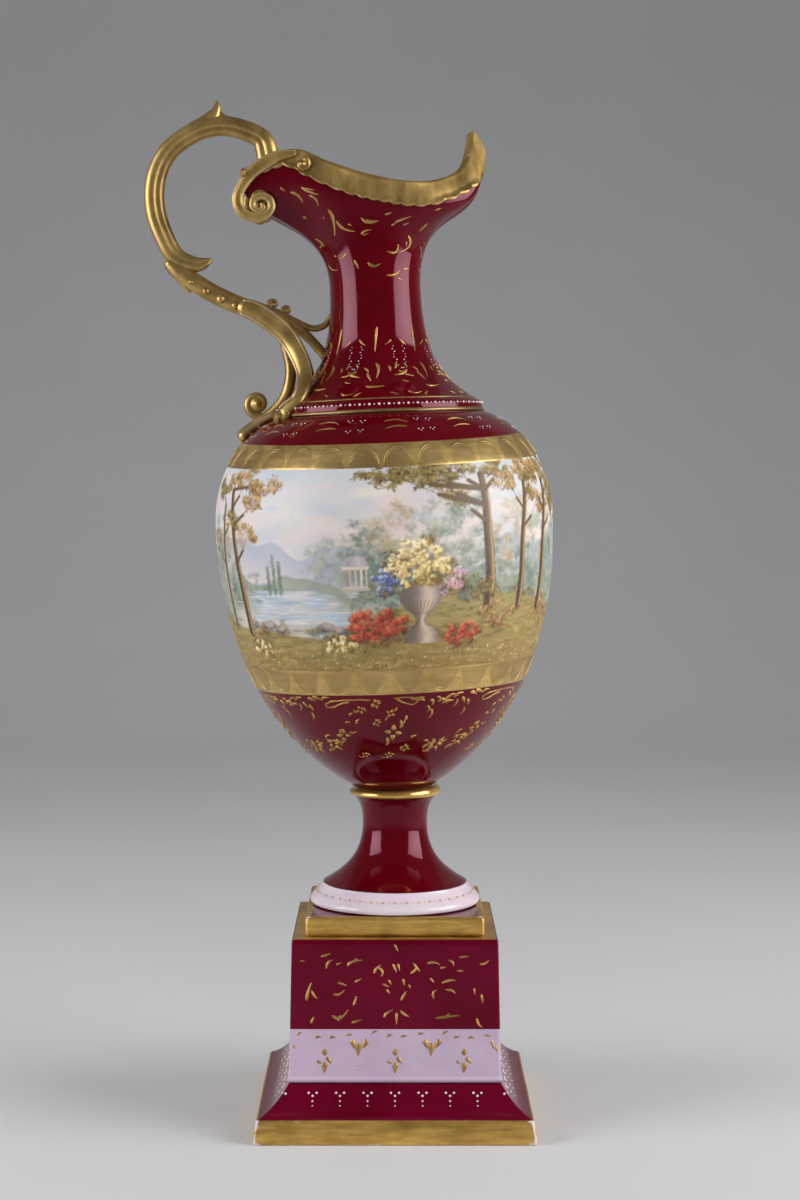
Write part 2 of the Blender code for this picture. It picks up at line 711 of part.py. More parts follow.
# Scroll behind the legs, hanging from the brace and ending in a volute over the shoulder
back_half = BACK_SCROLL_THICKNESS / 2
back_volute_height = shoulder_top + BACK_VOLUTE_RADIUS + 0.1 * back_half
back_foot = max(moulding_radius, neck_foot)
back_volute_centre = (-back_foot - BACK_VOLUTE_STANDOFF, back_volute_height)
back_volute = volute(back_volute_centre, BACK_VOLUTE_RADIUS, -48, -395, BACK_SCROLL_THICKNESS, 0.8)
back_start = [
    (-0.970 * back_foot, 0.0, between(0.625), 0.8 * back_half),
    (-0.893 * back_foot, 0.0, between(0.45), back_half),
    (-0.854 * back_foot, 0.0, between(0.29), back_half),
    (-0.922 * back_foot, 0.0, between(0.13), back_half),
]
back_path = spline(back_start + [(x, 0.0, z, radius) for x, z, radius in back_volute[:2]], 3)
back_path += [(x, 0.0, z, radius) for x, z, radius in back_volute[2:]]
back_scroll = tube("handle_back_scroll", back_path, GILT, body_axis)
combine(back_scroll, stem_tool)
combine(back_scroll, envelope)
back_tool = as_cutter(tube("back_tool", grown(back_path), GILT, body_axis))

# Leaf under the volute, lying on the shoulder
tab_half = TAB_THICKNESS / 2
tab_run = [point for point in offset(shoulder, 0.3 * tab_half) if point[0] < 0.85 * belly_radius][::-1]
tab_shares = [1.0 - 0.6 * index / max(len(tab_run) - 1, 1) for index in range(len(tab_run))]
tab_path = [(-radius, 0.0, z, share * tab_half) for (radius, z), share in zip(tab_run, tab_shares)]
tab = tube("handle_shoulder_tab", tab_path, GILT, body_axis, flat=TAB_WIDTH / TAB_THICKNESS)
combine(tab, envelope)
combine(tab, back_tool)

# Tendril from the stem to the neck
tendril_half = TENDRIL_THICKNESS / 2
tendril_path = spline(
    [
        (-1.15 * neck_foot, 0.0, between(0.68), tendril_half),
        (-1.00 * neck_foot, 0.0, between(0.69), tendril_half),
        (-0.82 * neck_foot, 0.0, between(0.61), tendril_half),
        (-0.65 * neck_foot, 0.0, between(0.55), tendril_half),
        (-neck_radius - 2 * tendril_half, 0.0, between(0.565), tendril_half),
        (-neck_radius, 0.0, between(0.62), 0.8 * tendril_half),
    ],
    3,
)
tendril = tube("handle_tendril", tendril_path, GILT, body_axis)
combine(tendril, stem_tool)
combine(tendril, envelope)

# Rod, nuts and washers: the upper set lies on the belly's floor, the lower set hangs under the slab
washer_radius = WASHER_DIAMETER / 2
floor_height = belly_seat + BELLY_FLOOR / math.cos(LEAN)
upper_pad_bottom = floor_height + GAP
upper_pad_top = upper_pad_bottom + UPPER_PAD_THICKNESS
upper_washer_bottom = upper_pad_top + GAP
upper_nut_bottom = upper_washer_bottom + WASHER_THICKNESS + GAP
lower_pad_top = slab_bottom - GAP
lower_washer_top = lower_pad_top - LOWER_PAD_THICKNESS - GAP
lower_nut_top = lower_washer_top - WASHER_THICKNESS - GAP
rod_bottom = lower_nut_top - NUT_HEIGHT - ROD_END
rod_top = upper_nut_bottom + NUT_HEIGHT + ROD_END


def washer(name, bottom, thickness, material, lean_share=0.0):
    """Flat washer, its underside tilted where it lies on the leaning floor."""
    lower = [ring(circle(radius), bottom, HARDWARE_SIDES) for radius in (rod_hole, washer_radius)]
    upper = [ring(circle(radius), bottom + thickness, HARDWARE_SIDES) for radius in (washer_radius, rod_hole)]
    skin(name, [tilted(loop, lean_share) for loop in lower] + upper, material, ewer, hollow=True)


def nut(name, bottom):
    """Hexagon nut round the rod."""
    loops = [
        ring(circle(nut_bore), bottom, HARDWARE_SIDES),
        ring(hexagon(NUT_ACROSS_FLATS), bottom, HARDWARE_SIDES),
        ring(hexagon(NUT_ACROSS_FLATS), bottom + NUT_HEIGHT, HARDWARE_SIDES),
        ring(circle(nut_bore), bottom + NUT_HEIGHT, HARDWARE_SIDES),
    ]
    skin(name, loops, BRASS, ewer, hollow=True)


rod_profile = [(ROD_DIAMETER / 2, rod_bottom), (ROD_DIAMETER / 2, rod_top)]
turned("tie_rod", rod_profile, STEEL, ewer, hollow=False, sides=HARDWARE_SIDES)
washer("upper_pad", upper_pad_bottom, UPPER_PAD_THICKNESS, LEATHER, lean_share=1.0)
washer("upper_washer", upper_washer_bottom, WASHER_THICKNESS, STEEL)
nut("upper_nut", upper_nut_bottom)
washer("lower_pad", lower_pad_top - LOWER_PAD_THICKNESS, LOWER_PAD_THICKNESS, LEATHER)
washer("lower_washer", lower_washer_top - WASHER_THICKNESS, WASHER_THICKNESS, STEEL)
nut("lower_nut", lower_nut_top - NUT_HEIGHT)
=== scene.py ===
import math

import bmesh
import bpy
import numpy as np
from mathutils import Matrix, Vector


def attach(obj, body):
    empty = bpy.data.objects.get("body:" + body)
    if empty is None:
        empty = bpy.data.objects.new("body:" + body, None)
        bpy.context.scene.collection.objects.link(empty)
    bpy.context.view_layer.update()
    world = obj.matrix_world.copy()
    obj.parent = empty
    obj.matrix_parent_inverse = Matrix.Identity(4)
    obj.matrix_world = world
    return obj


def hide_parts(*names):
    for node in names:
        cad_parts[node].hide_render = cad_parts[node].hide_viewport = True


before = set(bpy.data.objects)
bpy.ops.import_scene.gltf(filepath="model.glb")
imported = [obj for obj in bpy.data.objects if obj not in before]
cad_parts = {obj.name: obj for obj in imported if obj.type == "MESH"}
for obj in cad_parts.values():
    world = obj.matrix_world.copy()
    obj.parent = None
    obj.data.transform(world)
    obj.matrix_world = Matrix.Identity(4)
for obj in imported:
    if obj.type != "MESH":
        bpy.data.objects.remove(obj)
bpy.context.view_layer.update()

# Studio: a level camera in front of the ewer, a sweep of pale paper as floor and backdrop, two large soft
# boxes at the sides that leave long reflections on neck and foot, and two weak fills that leave none.
MM = 0.001
scene = bpy.context.scene
scene.view_settings.view_transform = "Standard"


def place(item):
    """Links a new object into the scene."""
    scene.collection.objects.link(item)
    return item


PICTURE_HEIGHT = 1200
camera_data = bpy.data.cameras.new("camera")
camera_data.lens = 69
camera_data.sensor_width = 36
camera_data.shift_x = 7 / PICTURE_HEIGHT
camera_data.shift_y = -130 / PICTURE_HEIGHT
camera = place(bpy.data.objects.new("camera", camera_data))
camera.location = (-0.0008, -0.966, 0.2674)
camera.rotation_euler = (math.pi / 2, 0, 0)
scene.camera = camera

EWER_MIDDLE = Vector((0, 0, 0.22))


def soft_box(name, location, width, height, power, spread=180):
    """Rectangular lamp that faces the middle of the ewer; a grid before it narrows the spread."""
    data = bpy.data.lights.new(name, "AREA")
    data.shape = "RECTANGLE"
    data.size = width
    data.size_y = height
    data.energy = power
    data.spread = math.radians(spread)
    lamp = place(bpy.data.objects.new(name, data))
    lamp.location = location
    aim = EWER_MIDDLE - Vector(location)
    lamp.rotation_euler = aim.to_track_quat("-Z", "Y").to_euler()
    return lamp


soft_box("soft_box_left", (-1.06, -0.42, 0.46), 0.80, 0.80, 4.8, 110)
soft_box("soft_box_right", (1.06, -0.36, 0.50), 0.98, 0.90, 7.2, 110)
for fill in (
    soft_box("front_fill", (-0.3, -1.7, 1.9), 1.6, 1.0, 6),
    soft_box("ceiling_fill", (0.0, 0.3, 2.6), 3.4, 3.4, 20),
):
    fill.visible_glossy = False

world = bpy.data.worlds.new("studio")
world.use_nodes = True
daylight = world.node_tree.nodes["Background"].inputs
daylight["Color"].default_value = (0.80, 0.80, 0.82, 1)
daylight["Strength"].default_value = 0.15
scene.world = world


def new_material(name, **constants):
    """Material with one Principled shader, its constant values set on its own sockets."""
    made = bpy.data.materials.new(name)
    made.use_nodes = True
    shader = made.node_tree.nodes["Principled BSDF"]
    for socket, value in constants.items():
        shader.inputs[socket.replace("_", " ")].default_value = value
    return made, shader


def add_node(tree, kind, inputs, **settings):
    """Node with settings, its inputs set to values or linked to other nodes' outputs."""
    made = tree.nodes.new(kind)
    for key, value in settings.items():
        setattr(made, key, value)
    for key, value in inputs.items():
        if isinstance(value, bpy.types.NodeSocket):
            tree.links.new(value, made.inputs[key])
        else:
            made.inputs[key].default_value = value
    return made


def shading(material, kind, inputs, **settings):
    """Shader node of a material."""
    return add_node(material.node_tree, "ShaderNode" + kind, inputs, **settings)


def blend(material, share, first, second):
    """Colour between two colours or sockets."""
    return shading(material, "Mix", {0: share, 6: first, 7: second}, data_type="RGBA").outputs[2]


def noise(material, scale, detail=3.0, stretch=(1, 1, 1), rough=0.55):
    """Noise over the object's own coordinates, with its output as a number."""
    spot = shading(material, "TexCoord", {})
    spread = shading(material, "Mapping", {"Vector": spot.outputs["Object"], "Scale": stretch})
    inputs = {"Vector": spread.outputs["Vector"], "Scale": scale, "Detail": detail, "Roughness": rough}
    return shading(material, "TexNoise", inputs).outputs["Fac"]


def levels(material, value, low, high, to_low=0.0, to_high=1.0):
    """Number moved from one range to another and clamped."""
    inputs = {"Value": value, "From Min": low, "From Max": high, "To Min": to_low, "To Max": to_high}
    return shading(material, "MapRange", inputs).outputs["Result"]


def feed(material, shader, socket, value):
    """Links an output to a socket of the shader."""
    material.node_tree.links.new(value, shader.inputs[socket])


def relief(material, shader, value, strength, distance):
    """Bump from a number."""
    bump = shading(material, "Bump", {"Height": value, "Strength": strength, "Distance": distance})
    feed(material, shader, "Normal", bump.outputs["Normal"])


paper, paper_shader = new_material("paper_sweep", Roughness=0.9)
paper_tint = blend(paper, noise(paper, 6), (0.59, 0.59, 0.60, 1), (0.63, 0.63, 0.64, 1))
feed(paper, paper_shader, "Base Color", paper_tint)
SWEEP_REACH = 4.0
FLOOR_BACK = 1.2
SWEEP_BEND = 0.8
BEND_STEPS = 12
sweep_line = [(-SWEEP_REACH, 0.0), (FLOOR_BACK, 0.0)]
for step in range(1, BEND_STEPS + 1):
    turn = math.pi / 2 * step / BEND_STEPS
    sweep_line.append((FLOOR_BACK + SWEEP_BEND * math.sin(turn), SWEEP_BEND - SWEEP_BEND * math.cos(turn)))
sweep_line.append((FLOOR_BACK + SWEEP_BEND, SWEEP_REACH))
sweep_points = [(x, y, z) for y, z in sweep_line for x in (-SWEEP_REACH, SWEEP_REACH)]
sweep_faces = [(2 * i, 2 * i + 1, 2 * i + 3, 2 * i + 2) for i in range(len(sweep_line) - 1)]
sweep_mesh = bpy.data.meshes.new("paper_sweep")
sweep_mesh.from_pydata(sweep_points, [], sweep_faces)
sweep_mesh.shade_smooth()
sweep_mesh.materials.append(paper)
place(bpy.data.objects.new("paper_sweep", sweep_mesh))

# Pedestal base: pressed porcelain plinth, its upright edge gilded over white and rubbed through at the
# corners, its hollow moulding in claret glaze with groups of enamel dots.
SIDE_SHARES = (-1, -0.985, -0.95, -0.88, -0.72, -0.5, -0.25, 0, 0.25, 0.5, 0.72, 0.88, 0.95, 0.985, 1)


def square_loop(half, height, corner=0.9):
    """Loop of a square with rounded corners, in millimetres."""
    points = []
    for quarter in range(4):
        turn = Matrix.Rotation(math.pi / 2 * quarter - math.pi / 2, 3, "Z")
        for share in SIDE_SHARES:
            points.append(turn @ Vector((half, (half - corner) * share, height)))
        for step in range(1, 4):
            bend = math.pi / 8 * step
            centre = half - corner
            corner_point = (centre + corner * math.cos(bend), centre + corner * math.sin(bend), height)
            points.append(turn @ Vector(corner_point))
    return points


def round_loop(radius, height):
    """Circle with as many points as a square loop, facing the same ways."""
    ways = [Vector((p.x, p.y, 0)).normalized() for p in square_loop(1, 0, 0.1)]
    return [way * radius + Vector((0, 0, height)) for way in ways]


SHARP = math.radians(38)


def closed_piece(name, mesh):
    """Object from a closed mesh: its faces turned outwards, smooth but for its sharp edges."""
    shell = bmesh.new()
    shell.from_mesh(mesh)
    bmesh.ops.recalc_face_normals(shell, faces=shell.faces)
    shell.to_mesh(mesh)
    shell.free()
    mesh.shade_smooth()
    mesh.set_sharp_from_angle(angle=SHARP)
    return place(bpy.data.objects.new(name, mesh))


def skin(name, loops, materials, bands=None, hollow=False, wear=None):
    """Piece skinned over loops in millimetres, with a material for each band between two loops."""
    count = len(loops[0])
    rows = len(loops)
    faces = []
    chosen = []
    for row in range(rows if hollow else rows - 1):
        low = row * count
        high = (row + 1) % rows * count
        for side in range(count):
            after = (side + 1) % count
            faces.append((low + side, low + after, high + after, high + side))
            chosen.append(materials.index(bands[row]) if bands else 0)
    if not hollow:
        faces.append(tuple(reversed(range(count))))
        faces.append(tuple(range((rows - 1) * count, rows * count)))
        chosen += [chosen[0], chosen[-1]]
    mesh = bpy.data.meshes.new(name)
    mesh.from_pydata([p * MM for loop in loops for p in loop], [], faces)
    for material in materials:
        mesh.materials.append(material)
    mesh.polygons.foreach_set("material_index", chosen)
    if wear:
        layer = mesh.attributes.new("wear", "FLOAT", "POINT")
        layer.data.foreach_set("value", [amount for row in wear for amount in row])
    return closed_piece(name, mesh)


def corner_wear(loops, rows, start=1.955, gain=13):
    """Wear of a square piece: an amount for each loop, and more along its upright corners."""
    worn = []
    for loop, amount in zip(loops, rows):
        half = max(p.x for p in loop)
        worn.append([amount + max((abs(p.x) + abs(p.y)) / half - start, 0) * gain for p in loop])
    return worn


def glaze(name, deep, thin, rough, shine=0.5, tint=(1, 1, 1, 1)):
    """Fired glaze: slow colour drift, faint ripple and a hard clear surface."""
    made, shader = new_material(name, IOR=1.48, Specular_IOR_Level=shine, Specular_Tint=tint)
    drift = levels(made, noise(made, 34, 4), 0.32, 0.68)
    feed(made, shader, "Base Color", blend(made, drift, deep, thin))
    feed(made, shader, "Roughness", levels(made, noise(made, 160, 2), 0.3, 0.7, rough, rough + 0.07))
    relief(made, shader, noise(made, 90, 2), 0.05, 0.001)
    return made


def gilding(name, bright, dull, grain, rough=0.30):
    """Fired gold, brushed and rubbed: streaks along the brush, dull patches, porcelain at worn edges."""
    made, shader = new_material(name, IOR=1.5)
    streaks = noise(made, 60, 4, grain, 0.65)
    patches = noise(made, 55, 3)
    tone = levels(made, streaks, 0.35, 0.68)
    gold = blend(made, tone, dull, bright)
    dim = tuple(c * 0.62 for c in dull[:3]) + (1,)
    worn_gold = blend(made, levels(made, patches, 0.50, 0.72, 0.0, 0.7), gold, dim)
    wear = shading(made, "Attribute", {}, attribute_name="wear").outputs["Fac"]
    ragged = shading(made, "Math", {0: wear, 1: noise(made, 420, 4)}, operation="ADD").outputs[0]
    bare = levels(made, ragged, 0.95, 1.12)
    feed(made, shader, "Base Color", blend(made, bare, worn_gold, (0.62, 0.54, 0.52, 1)))
    feed(made, shader, "Metallic", levels(made, bare, 0.0, 1.0, 0.76, 0.0))
    feed(made, shader, "Roughness", levels(made, streaks, 0.3, 0.7, rough, rough + 0.16))
    relief(made, shader, streaks, 0.12, 0.0006)
    return made


LUSTRE = (1.0, 0.48, 0.64, 1)
claret = glaze("claret_glaze", (0.072, 0.0003, 0.0024, 1), (0.102, 0.0005, 0.0044, 1), 0.05, 0.42, LUSTRE)
crimson = glaze("crimson_glaze", (0.086, 0.0006, 0.0085, 1), (0.122, 0.0010, 0.0150, 1), 0.09, 0.24, LUSTRE)
edge_gold = gilding("edge_gold", (0.74, 0.46, 0.125, 1), (0.46, 0.262, 0.060, 1), (1, 1, 9))
biscuit = glaze("biscuit", (0.66, 0.62, 0.57, 1), (0.74, 0.70, 0.66, 1), 0.55)


def bezier(start, first, second, end, steps):
    """Points of a cubic curve in radius and height."""
    share = np.linspace(0, 1, steps + 1)[:, None]
    corners = [np.array(corner, float) for corner in (start, first, second, end)]
    weights = ((1 - share) ** 3, 3 * (1 - share) ** 2 * share, 3 * (1 - share) * share**2, share**3)
    return [tuple(point) for point in sum(w * c for w, c in zip(weights, corners))]


BASE_HALF = 56.3
BASE_TOP = 21.0
COVE_FOOT = 54.5
BLOCK_HALF = 42.6
SPIGOT_HALF = 38.3
SPIGOT_TOP = 25.0
BASE_WALL = 3.0
BASE_INSIDE = 49.3
cove_run = COVE_FOOT - BLOCK_HALF
cove = bezier(
    (COVE_FOOT, 9.6),
    (BLOCK_HALF + 0.55 * cove_run, 11.9),
    (BLOCK_HALF + 0.26 * cove_run, 16.4),
    (BLOCK_HALF, BASE_TOP),
    14,
)
base_line = [
    (BASE_HALF - 0.8, 0.0, biscuit),
    (BASE_HALF - 0.2, 0.25, edge_gold),
    (BASE_HALF, 0.9, edge_gold),
    (BASE_HALF - 0.5, 4.8, edge_gold),
    (BASE_HALF - 1.0, 8.7, edge_gold),
    (BASE_HALF - 1.2, 9.35, edge_gold),
    *[(half, height, crimson) for half, height in cove],
    (SPIGOT_HALF, BASE_TOP, biscuit),
    (SPIGOT_HALF, SPIGOT_TOP, biscuit),
    (SPIGOT_HALF - BASE_WALL, SPIGOT_TOP, biscuit),
    (SPIGOT_HALF - BASE_WALL, 15.0, biscuit),
    (BASE_INSIDE, 8.8, biscuit),
    (BASE_INSIDE, 4.0, biscuit),
]
base_loops = [square_loop(half, height) for half, height, band in base_line]
base_bands = [band for half, height, band in base_line]
edge_wear = [0.5, 0.45, 0.28, 0.0, 0.22, 0.42]
base_wear = corner_wear(base_loops, edge_wear + [0.0] * (len(base_line) - len(edge_wear)))
base = skin("base_plinth", base_loops, [edge_gold, crimson, biscuit], base_bands, wear=base_wear)
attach(base, "pedestal")
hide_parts("pedestal_base")


def new_tree(name, sockets):
    """Geometry tree with a mesh in, a mesh out and named inputs."""
    tree = bpy.data.node_groups.new(name, "GeometryNodeTree")
    tree.interface.new_socket("Geometry", in_out="INPUT", socket_type="NodeSocketGeometry")
    for label, kind in sockets:
        tree.interface.new_socket(label, in_out="INPUT", socket_type="NodeSocket" + kind)
    tree.interface.new_socket("Geometry", in_out="OUTPUT", socket_type="NodeSocketGeometry")
    return tree, tree.nodes.new("NodeGroupInput").outputs, tree.nodes.new("NodeGroupOutput").inputs


def finish_tree(tree, geometry, given, result):
    """Ends a tree: real mesh, smooth shading, material."""
    real = add_node(tree, "GeometryNodeRealizeInstances", {"Geometry": geometry})
    smooth = add_node(tree, "GeometryNodeSetShadeSmooth", {"Geometry": real.outputs[0]})
    inputs = {"Geometry": smooth.outputs[0], "Material": given["Material"]}
    tree.links.new(add_node(tree, "GeometryNodeSetMaterial", inputs).outputs[0], result["Geometry"])


dot_sockets = [("Segments", "Int"), ("Rings", "Int"), ("Material", "Material")]
dot_tree, given, result = new_tree("enamel_dots", dot_sockets)
ball_inputs = {"Segments": given["Segments"], "Rings": given["Rings"], "Radius": 1.0}
ball = add_node(dot_tree, "GeometryNodeMeshUVSphere", ball_inputs)
dot_size = add_node(dot_tree, "GeometryNodeInputNamedAttribute", {"Name": "width"}, data_type="FLOAT")
dot_inputs = {"Points": given["Geometry"], "Instance": ball.outputs[0], "Scale": dot_size.outputs[0]}
dots = add_node(dot_tree, "GeometryNodeInstanceOnPoints", dot_inputs)
finish_tree(dot_tree, dots.outputs[0], given, result)


def grown(name, tree, inputs, points, widths, runs, body):
    """Piece that a geometry tree makes from points in millimetres, single or joined in runs."""
    mesh = bpy.data.meshes.new(name + "_path")
    edges = []
    first = 0
    for run in runs:
        edges += [(first + i, first + i + 1) for i in range(run - 1)]
        first += run
    mesh.from_pydata([Vector(p) * MM for p in points], edges, [])
    layer = mesh.attributes.new("width", "FLOAT", "POINT")
    layer.data.foreach_set("value", [width * MM for width in widths])
    piece = place(bpy.data.objects.new(name, mesh))
    modifier = piece.modifiers.new("grow", "NODES")
    modifier.node_group = tree
    for item in tree.interface.items_tree:
        if item.in_out == "INPUT" and item.name in inputs:
            modifier[item.identifier] = inputs[item.name]
    bpy.context.view_layer.update()
    solid = piece.evaluated_get(bpy.context.evaluated_depsgraph_get())
    piece.data = bpy.data.meshes.new_from_object(solid)
    piece.modifiers.clear()
    piece.data.name = name
    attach(piece, body)
    return piece


enamel = glaze("white_enamel", (0.68, 0.58, 0.60, 1), (0.80, 0.72, 0.72, 1), 0.22)


def enamel_dots(name, points, widths, body, material=enamel):
    """Beads of enamel, half sunk in the glaze."""
    inputs = {"Segments": 8, "Rings": 6, "Material": material}
    grown(name, dot_tree, inputs, points, widths, [], body)


cove_heights = [height for half, height in cove]
cove_halves = [half for half, height in cove]
DOT_GROUP = [(-1.6, 17.9, 0.50), (1.6, 17.9, 0.50), (0, 16.9, 0.50), (0, 15.2, 0.40), (0, 13.7, 0.32)]
GROUP_PLACES = (-33, -22, -11, 0, 11, 22, 33)
CORNER_DOTS = [(-43.8, 17.6, 0.50), (43.8, 17.6, 0.50)]
side_dots = [(along + aside, z, width) for along in GROUP_PLACES for aside, z, width in DOT_GROUP]
dot_points = []
dot_widths = []
for quarter in range(4):
    turn = Matrix.Rotation(math.pi / 2 * quarter, 3, "Z")
    for across, height, width in side_dots + CORNER_DOTS:
        half = float(np.interp(height, cove_heights, cove_halves))
        dot_points.append(turn @ Vector((across, -half, height)))
        dot_widths.append(width)
enamel_dots("cove_dots", dot_points, dot_widths, "pedestal")

# Pedestal block: hollow square die, claret above a lilac band with a bead at its foot, gilt flat top with
# the pour hole; thin gold sprays are drawn on all four faces in raised paste.
lilac = glaze("lilac_glaze", (0.44, 0.335, 0.455, 1), (0.51, 0.40, 0.52, 1), 0.10)
stroke_sockets = [("Surface", "Object"), ("Height", "Float"), ("Sides", "Int"), ("Material", "Material")]
stroke_tree, given, result = new_tree("raised_strokes", stroke_sockets)


def circle(tree, given):
    """Profile circle with the tree's number of sides."""
    inputs = {"Resolution": given["Sides"], "Radius": 1.0}
    return add_node(tree, "GeometryNodeCurvePrimitiveCircle", inputs).outputs[0]


def swept(tree, given, profile):
    """Closed tubes along the tree's paths, their profile scaled by the widths stored on the paths."""
    paths = add_node(tree, "GeometryNodeMeshToCurve", {"Mesh": given["Geometry"]}).outputs[0]
    width = add_node(tree, "GeometryNodeInputNamedAttribute", {"Name": "width"}, data_type="FLOAT").outputs[0]
    inputs = {"Curve": paths, "Profile Curve": profile, "Scale": width, "Fill Caps": True}
    return add_node(tree, "GeometryNodeCurveToMesh", inputs).outputs[0]


def vectors(tree, operation, inputs):
    """Vector arithmetic in a tree."""
    return add_node(tree, "ShaderNodeVectorMath", inputs, operation=operation).outputs[0]


paste = swept(stroke_tree, given, circle(stroke_tree, given))
surface_inputs = {"Object": given["Surface"]}
ground = add_node(stroke_tree, "GeometryNodeObjectInfo", surface_inputs, transform_space="RELATIVE")
ground_inputs = {0: ground.outputs["Geometry"]}
reach = add_node(stroke_tree, "GeometryNodeProximity", ground_inputs, target_element="FACES")
nearest = reach.outputs["Position"]
here = add_node(stroke_tree, "GeometryNodeInputPosition", {}).outputs[0]
above = vectors(stroke_tree, "SUBTRACT", {0: here, 1: nearest})
pressed = vectors(stroke_tree, "SCALE", {0: above, "Scale": given["Height"]})
laid = vectors(stroke_tree, "ADD", {0: nearest, 1: pressed})
lay = add_node(stroke_tree, "GeometryNodeSetPosition", {"Geometry": paste, "Position": laid})
finish_tree(stroke_tree, lay.outputs[0], given, result)

paste_gold = gilding("paste_gold", (0.60, 0.37, 0.125, 1), (0.36, 0.205, 0.055, 1), (1, 1, 1), 0.34)


class Drawing:
    """Brush strokes on a surface, each a run of points with widths."""

    def __init__(self, spot):
        self.spot = spot
        self.points = []
        self.widths = []
        self.runs = []

    def stroke(self, corners, width, tail=0.25):
        """Stroke along a bent line of two or three corners: full near its start, thin at its tail."""
        start = Vector(corners[0])
        end = Vector(corners[-1])
        middle = Vector(corners[1]) * 2 - (start + end) / 2 if len(corners) == 3 else (start + end) / 2
        swells = ((0, 0.35), (0.14, 0.85), (0.34, 1.0), (0.56, 0.8), (0.8, 0.5), (1, tail))
        for share, swell in swells:
            flat = start * (1 - share) ** 2 + middle * 2 * share * (1 - share) + end * share**2
            self.points.append(self.spot(*flat))
            self.widths.append(width * swell)
        self.runs.append(len(swells))

    def line(self, corners, width):
        """Even line through points."""
        for corner in corners:
            self.points.append(self.spot(*corner))
            self.widths.append(width)
        self.runs.append(len(corners))

    def leaf(self, across, up, turn, length, width, bend=0.0):
        """Comma leaf from its round head, in a direction in degrees."""
        run = Vector((math.cos(math.radians(turn)), math.sin(math.radians(turn)))) * length
        side = Vector((-run.y, run.x)) * bend
        head = Vector((across, up))
        self.stroke([head, head + run / 2 + side, head + run], width)

    def flower(self, across, up, size, turn=0.0):
        """Small blossom of four dabs and two leaves."""
        for petal in range(4):
            facing = turn + 90 * petal
            self.leaf(
                across + 0.35 * size * math.cos(math.radians(facing)),
                up + 0.35 * size * math.sin(math.radians(facing)),
                facing + 20,
                0.75 * size,
                0.38 * size,
                0.12,
            )
        self.leaf(across - 0.9 * size, up - 0.7 * size, turn + 200, 1.1 * size, 0.24 * size, 0.2)
        self.leaf(across + 0.9 * size, up + 0.6 * size, turn + 20, 1.1 * size, 0.24 * size, -0.2)

    def make(self, name, surface, body, height=0.45, material=paste_gold):
        """Piece from all strokes, flattened onto the surface to a share of their own height."""
        inputs = {"Surface": surface, "Height": height, "Sides": 6, "Material": material}
        grown(name, stroke_tree, inputs, self.points, self.widths, self.runs, body)


BLOCK_FOOT = 21.3
BAND_FOOT = BLOCK_FOOT + 2.5
BAND_TOP = 42.8
BLOCK_TOP = 78.5
BLOCK_WALL = 4.0
BLOCK_TAPER = 1.0
POUR_HOLE = 13.0
BEAD_STEPS = 8


def block_half_at(height):
    """Half width of the block, which tapers above the bead."""
    return BLOCK_HALF - BLOCK_TAPER * max(height - BAND_FOOT, 0) / (BLOCK_TOP - BAND_FOOT)


block_line = [(BLOCK_HALF - BLOCK_WALL, BLOCK_FOOT, lilac), (BLOCK_HALF - 0.3, BLOCK_FOOT, lilac)]
for step in range(BEAD_STEPS + 1):
    swell = 0.75 * math.sin(math.pi * step / BEAD_STEPS)
    block_line.append((BLOCK_HALF + swell, BLOCK_FOOT + 0.1 + 2.4 * step / BEAD_STEPS, lilac))
for height in (25, 29, 33, 37, 40, BAND_TOP - 0.15):
    block_line.append((block_half_at(height), height, lilac))
for height in (BAND_TOP, 48, 54, 60, 66, 72, 76, BLOCK_TOP - 0.9):
    block_line.append((block_half_at(height), height, crimson))
block_line.append((BLOCK_HALF - 1.15, BLOCK_TOP - 0.3, crimson))
block_line.append((BLOCK_HALF - 1.7, BLOCK_TOP, edge_gold))
block_loops = [square_loop(half, height) for half, height, band in block_line]
block_loops += [
    round_loop(POUR_HOLE + 0.6, BLOCK_TOP),
    round_loop(POUR_HOLE, BLOCK_TOP - 0.6),
    round_loop(POUR_HOLE, BLOCK_TOP - BLOCK_WALL),
    square_loop(BLOCK_HALF - BLOCK_TAPER - BLOCK_WALL, BLOCK_TOP - BLOCK_WALL),
]
block_bands = [band for half, height, band in block_line] + [edge_gold, biscuit, biscuit, biscuit]
block_materials = [lilac, crimson, edge_gold, biscuit]
block_wear = corner_wear(block_loops, [0.0] * len(block_loops))
block = skin("block_die", block_loops, block_materials, block_bands, hollow=True, wear=block_wear)
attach(block, "pedestal")
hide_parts("pedestal_block")

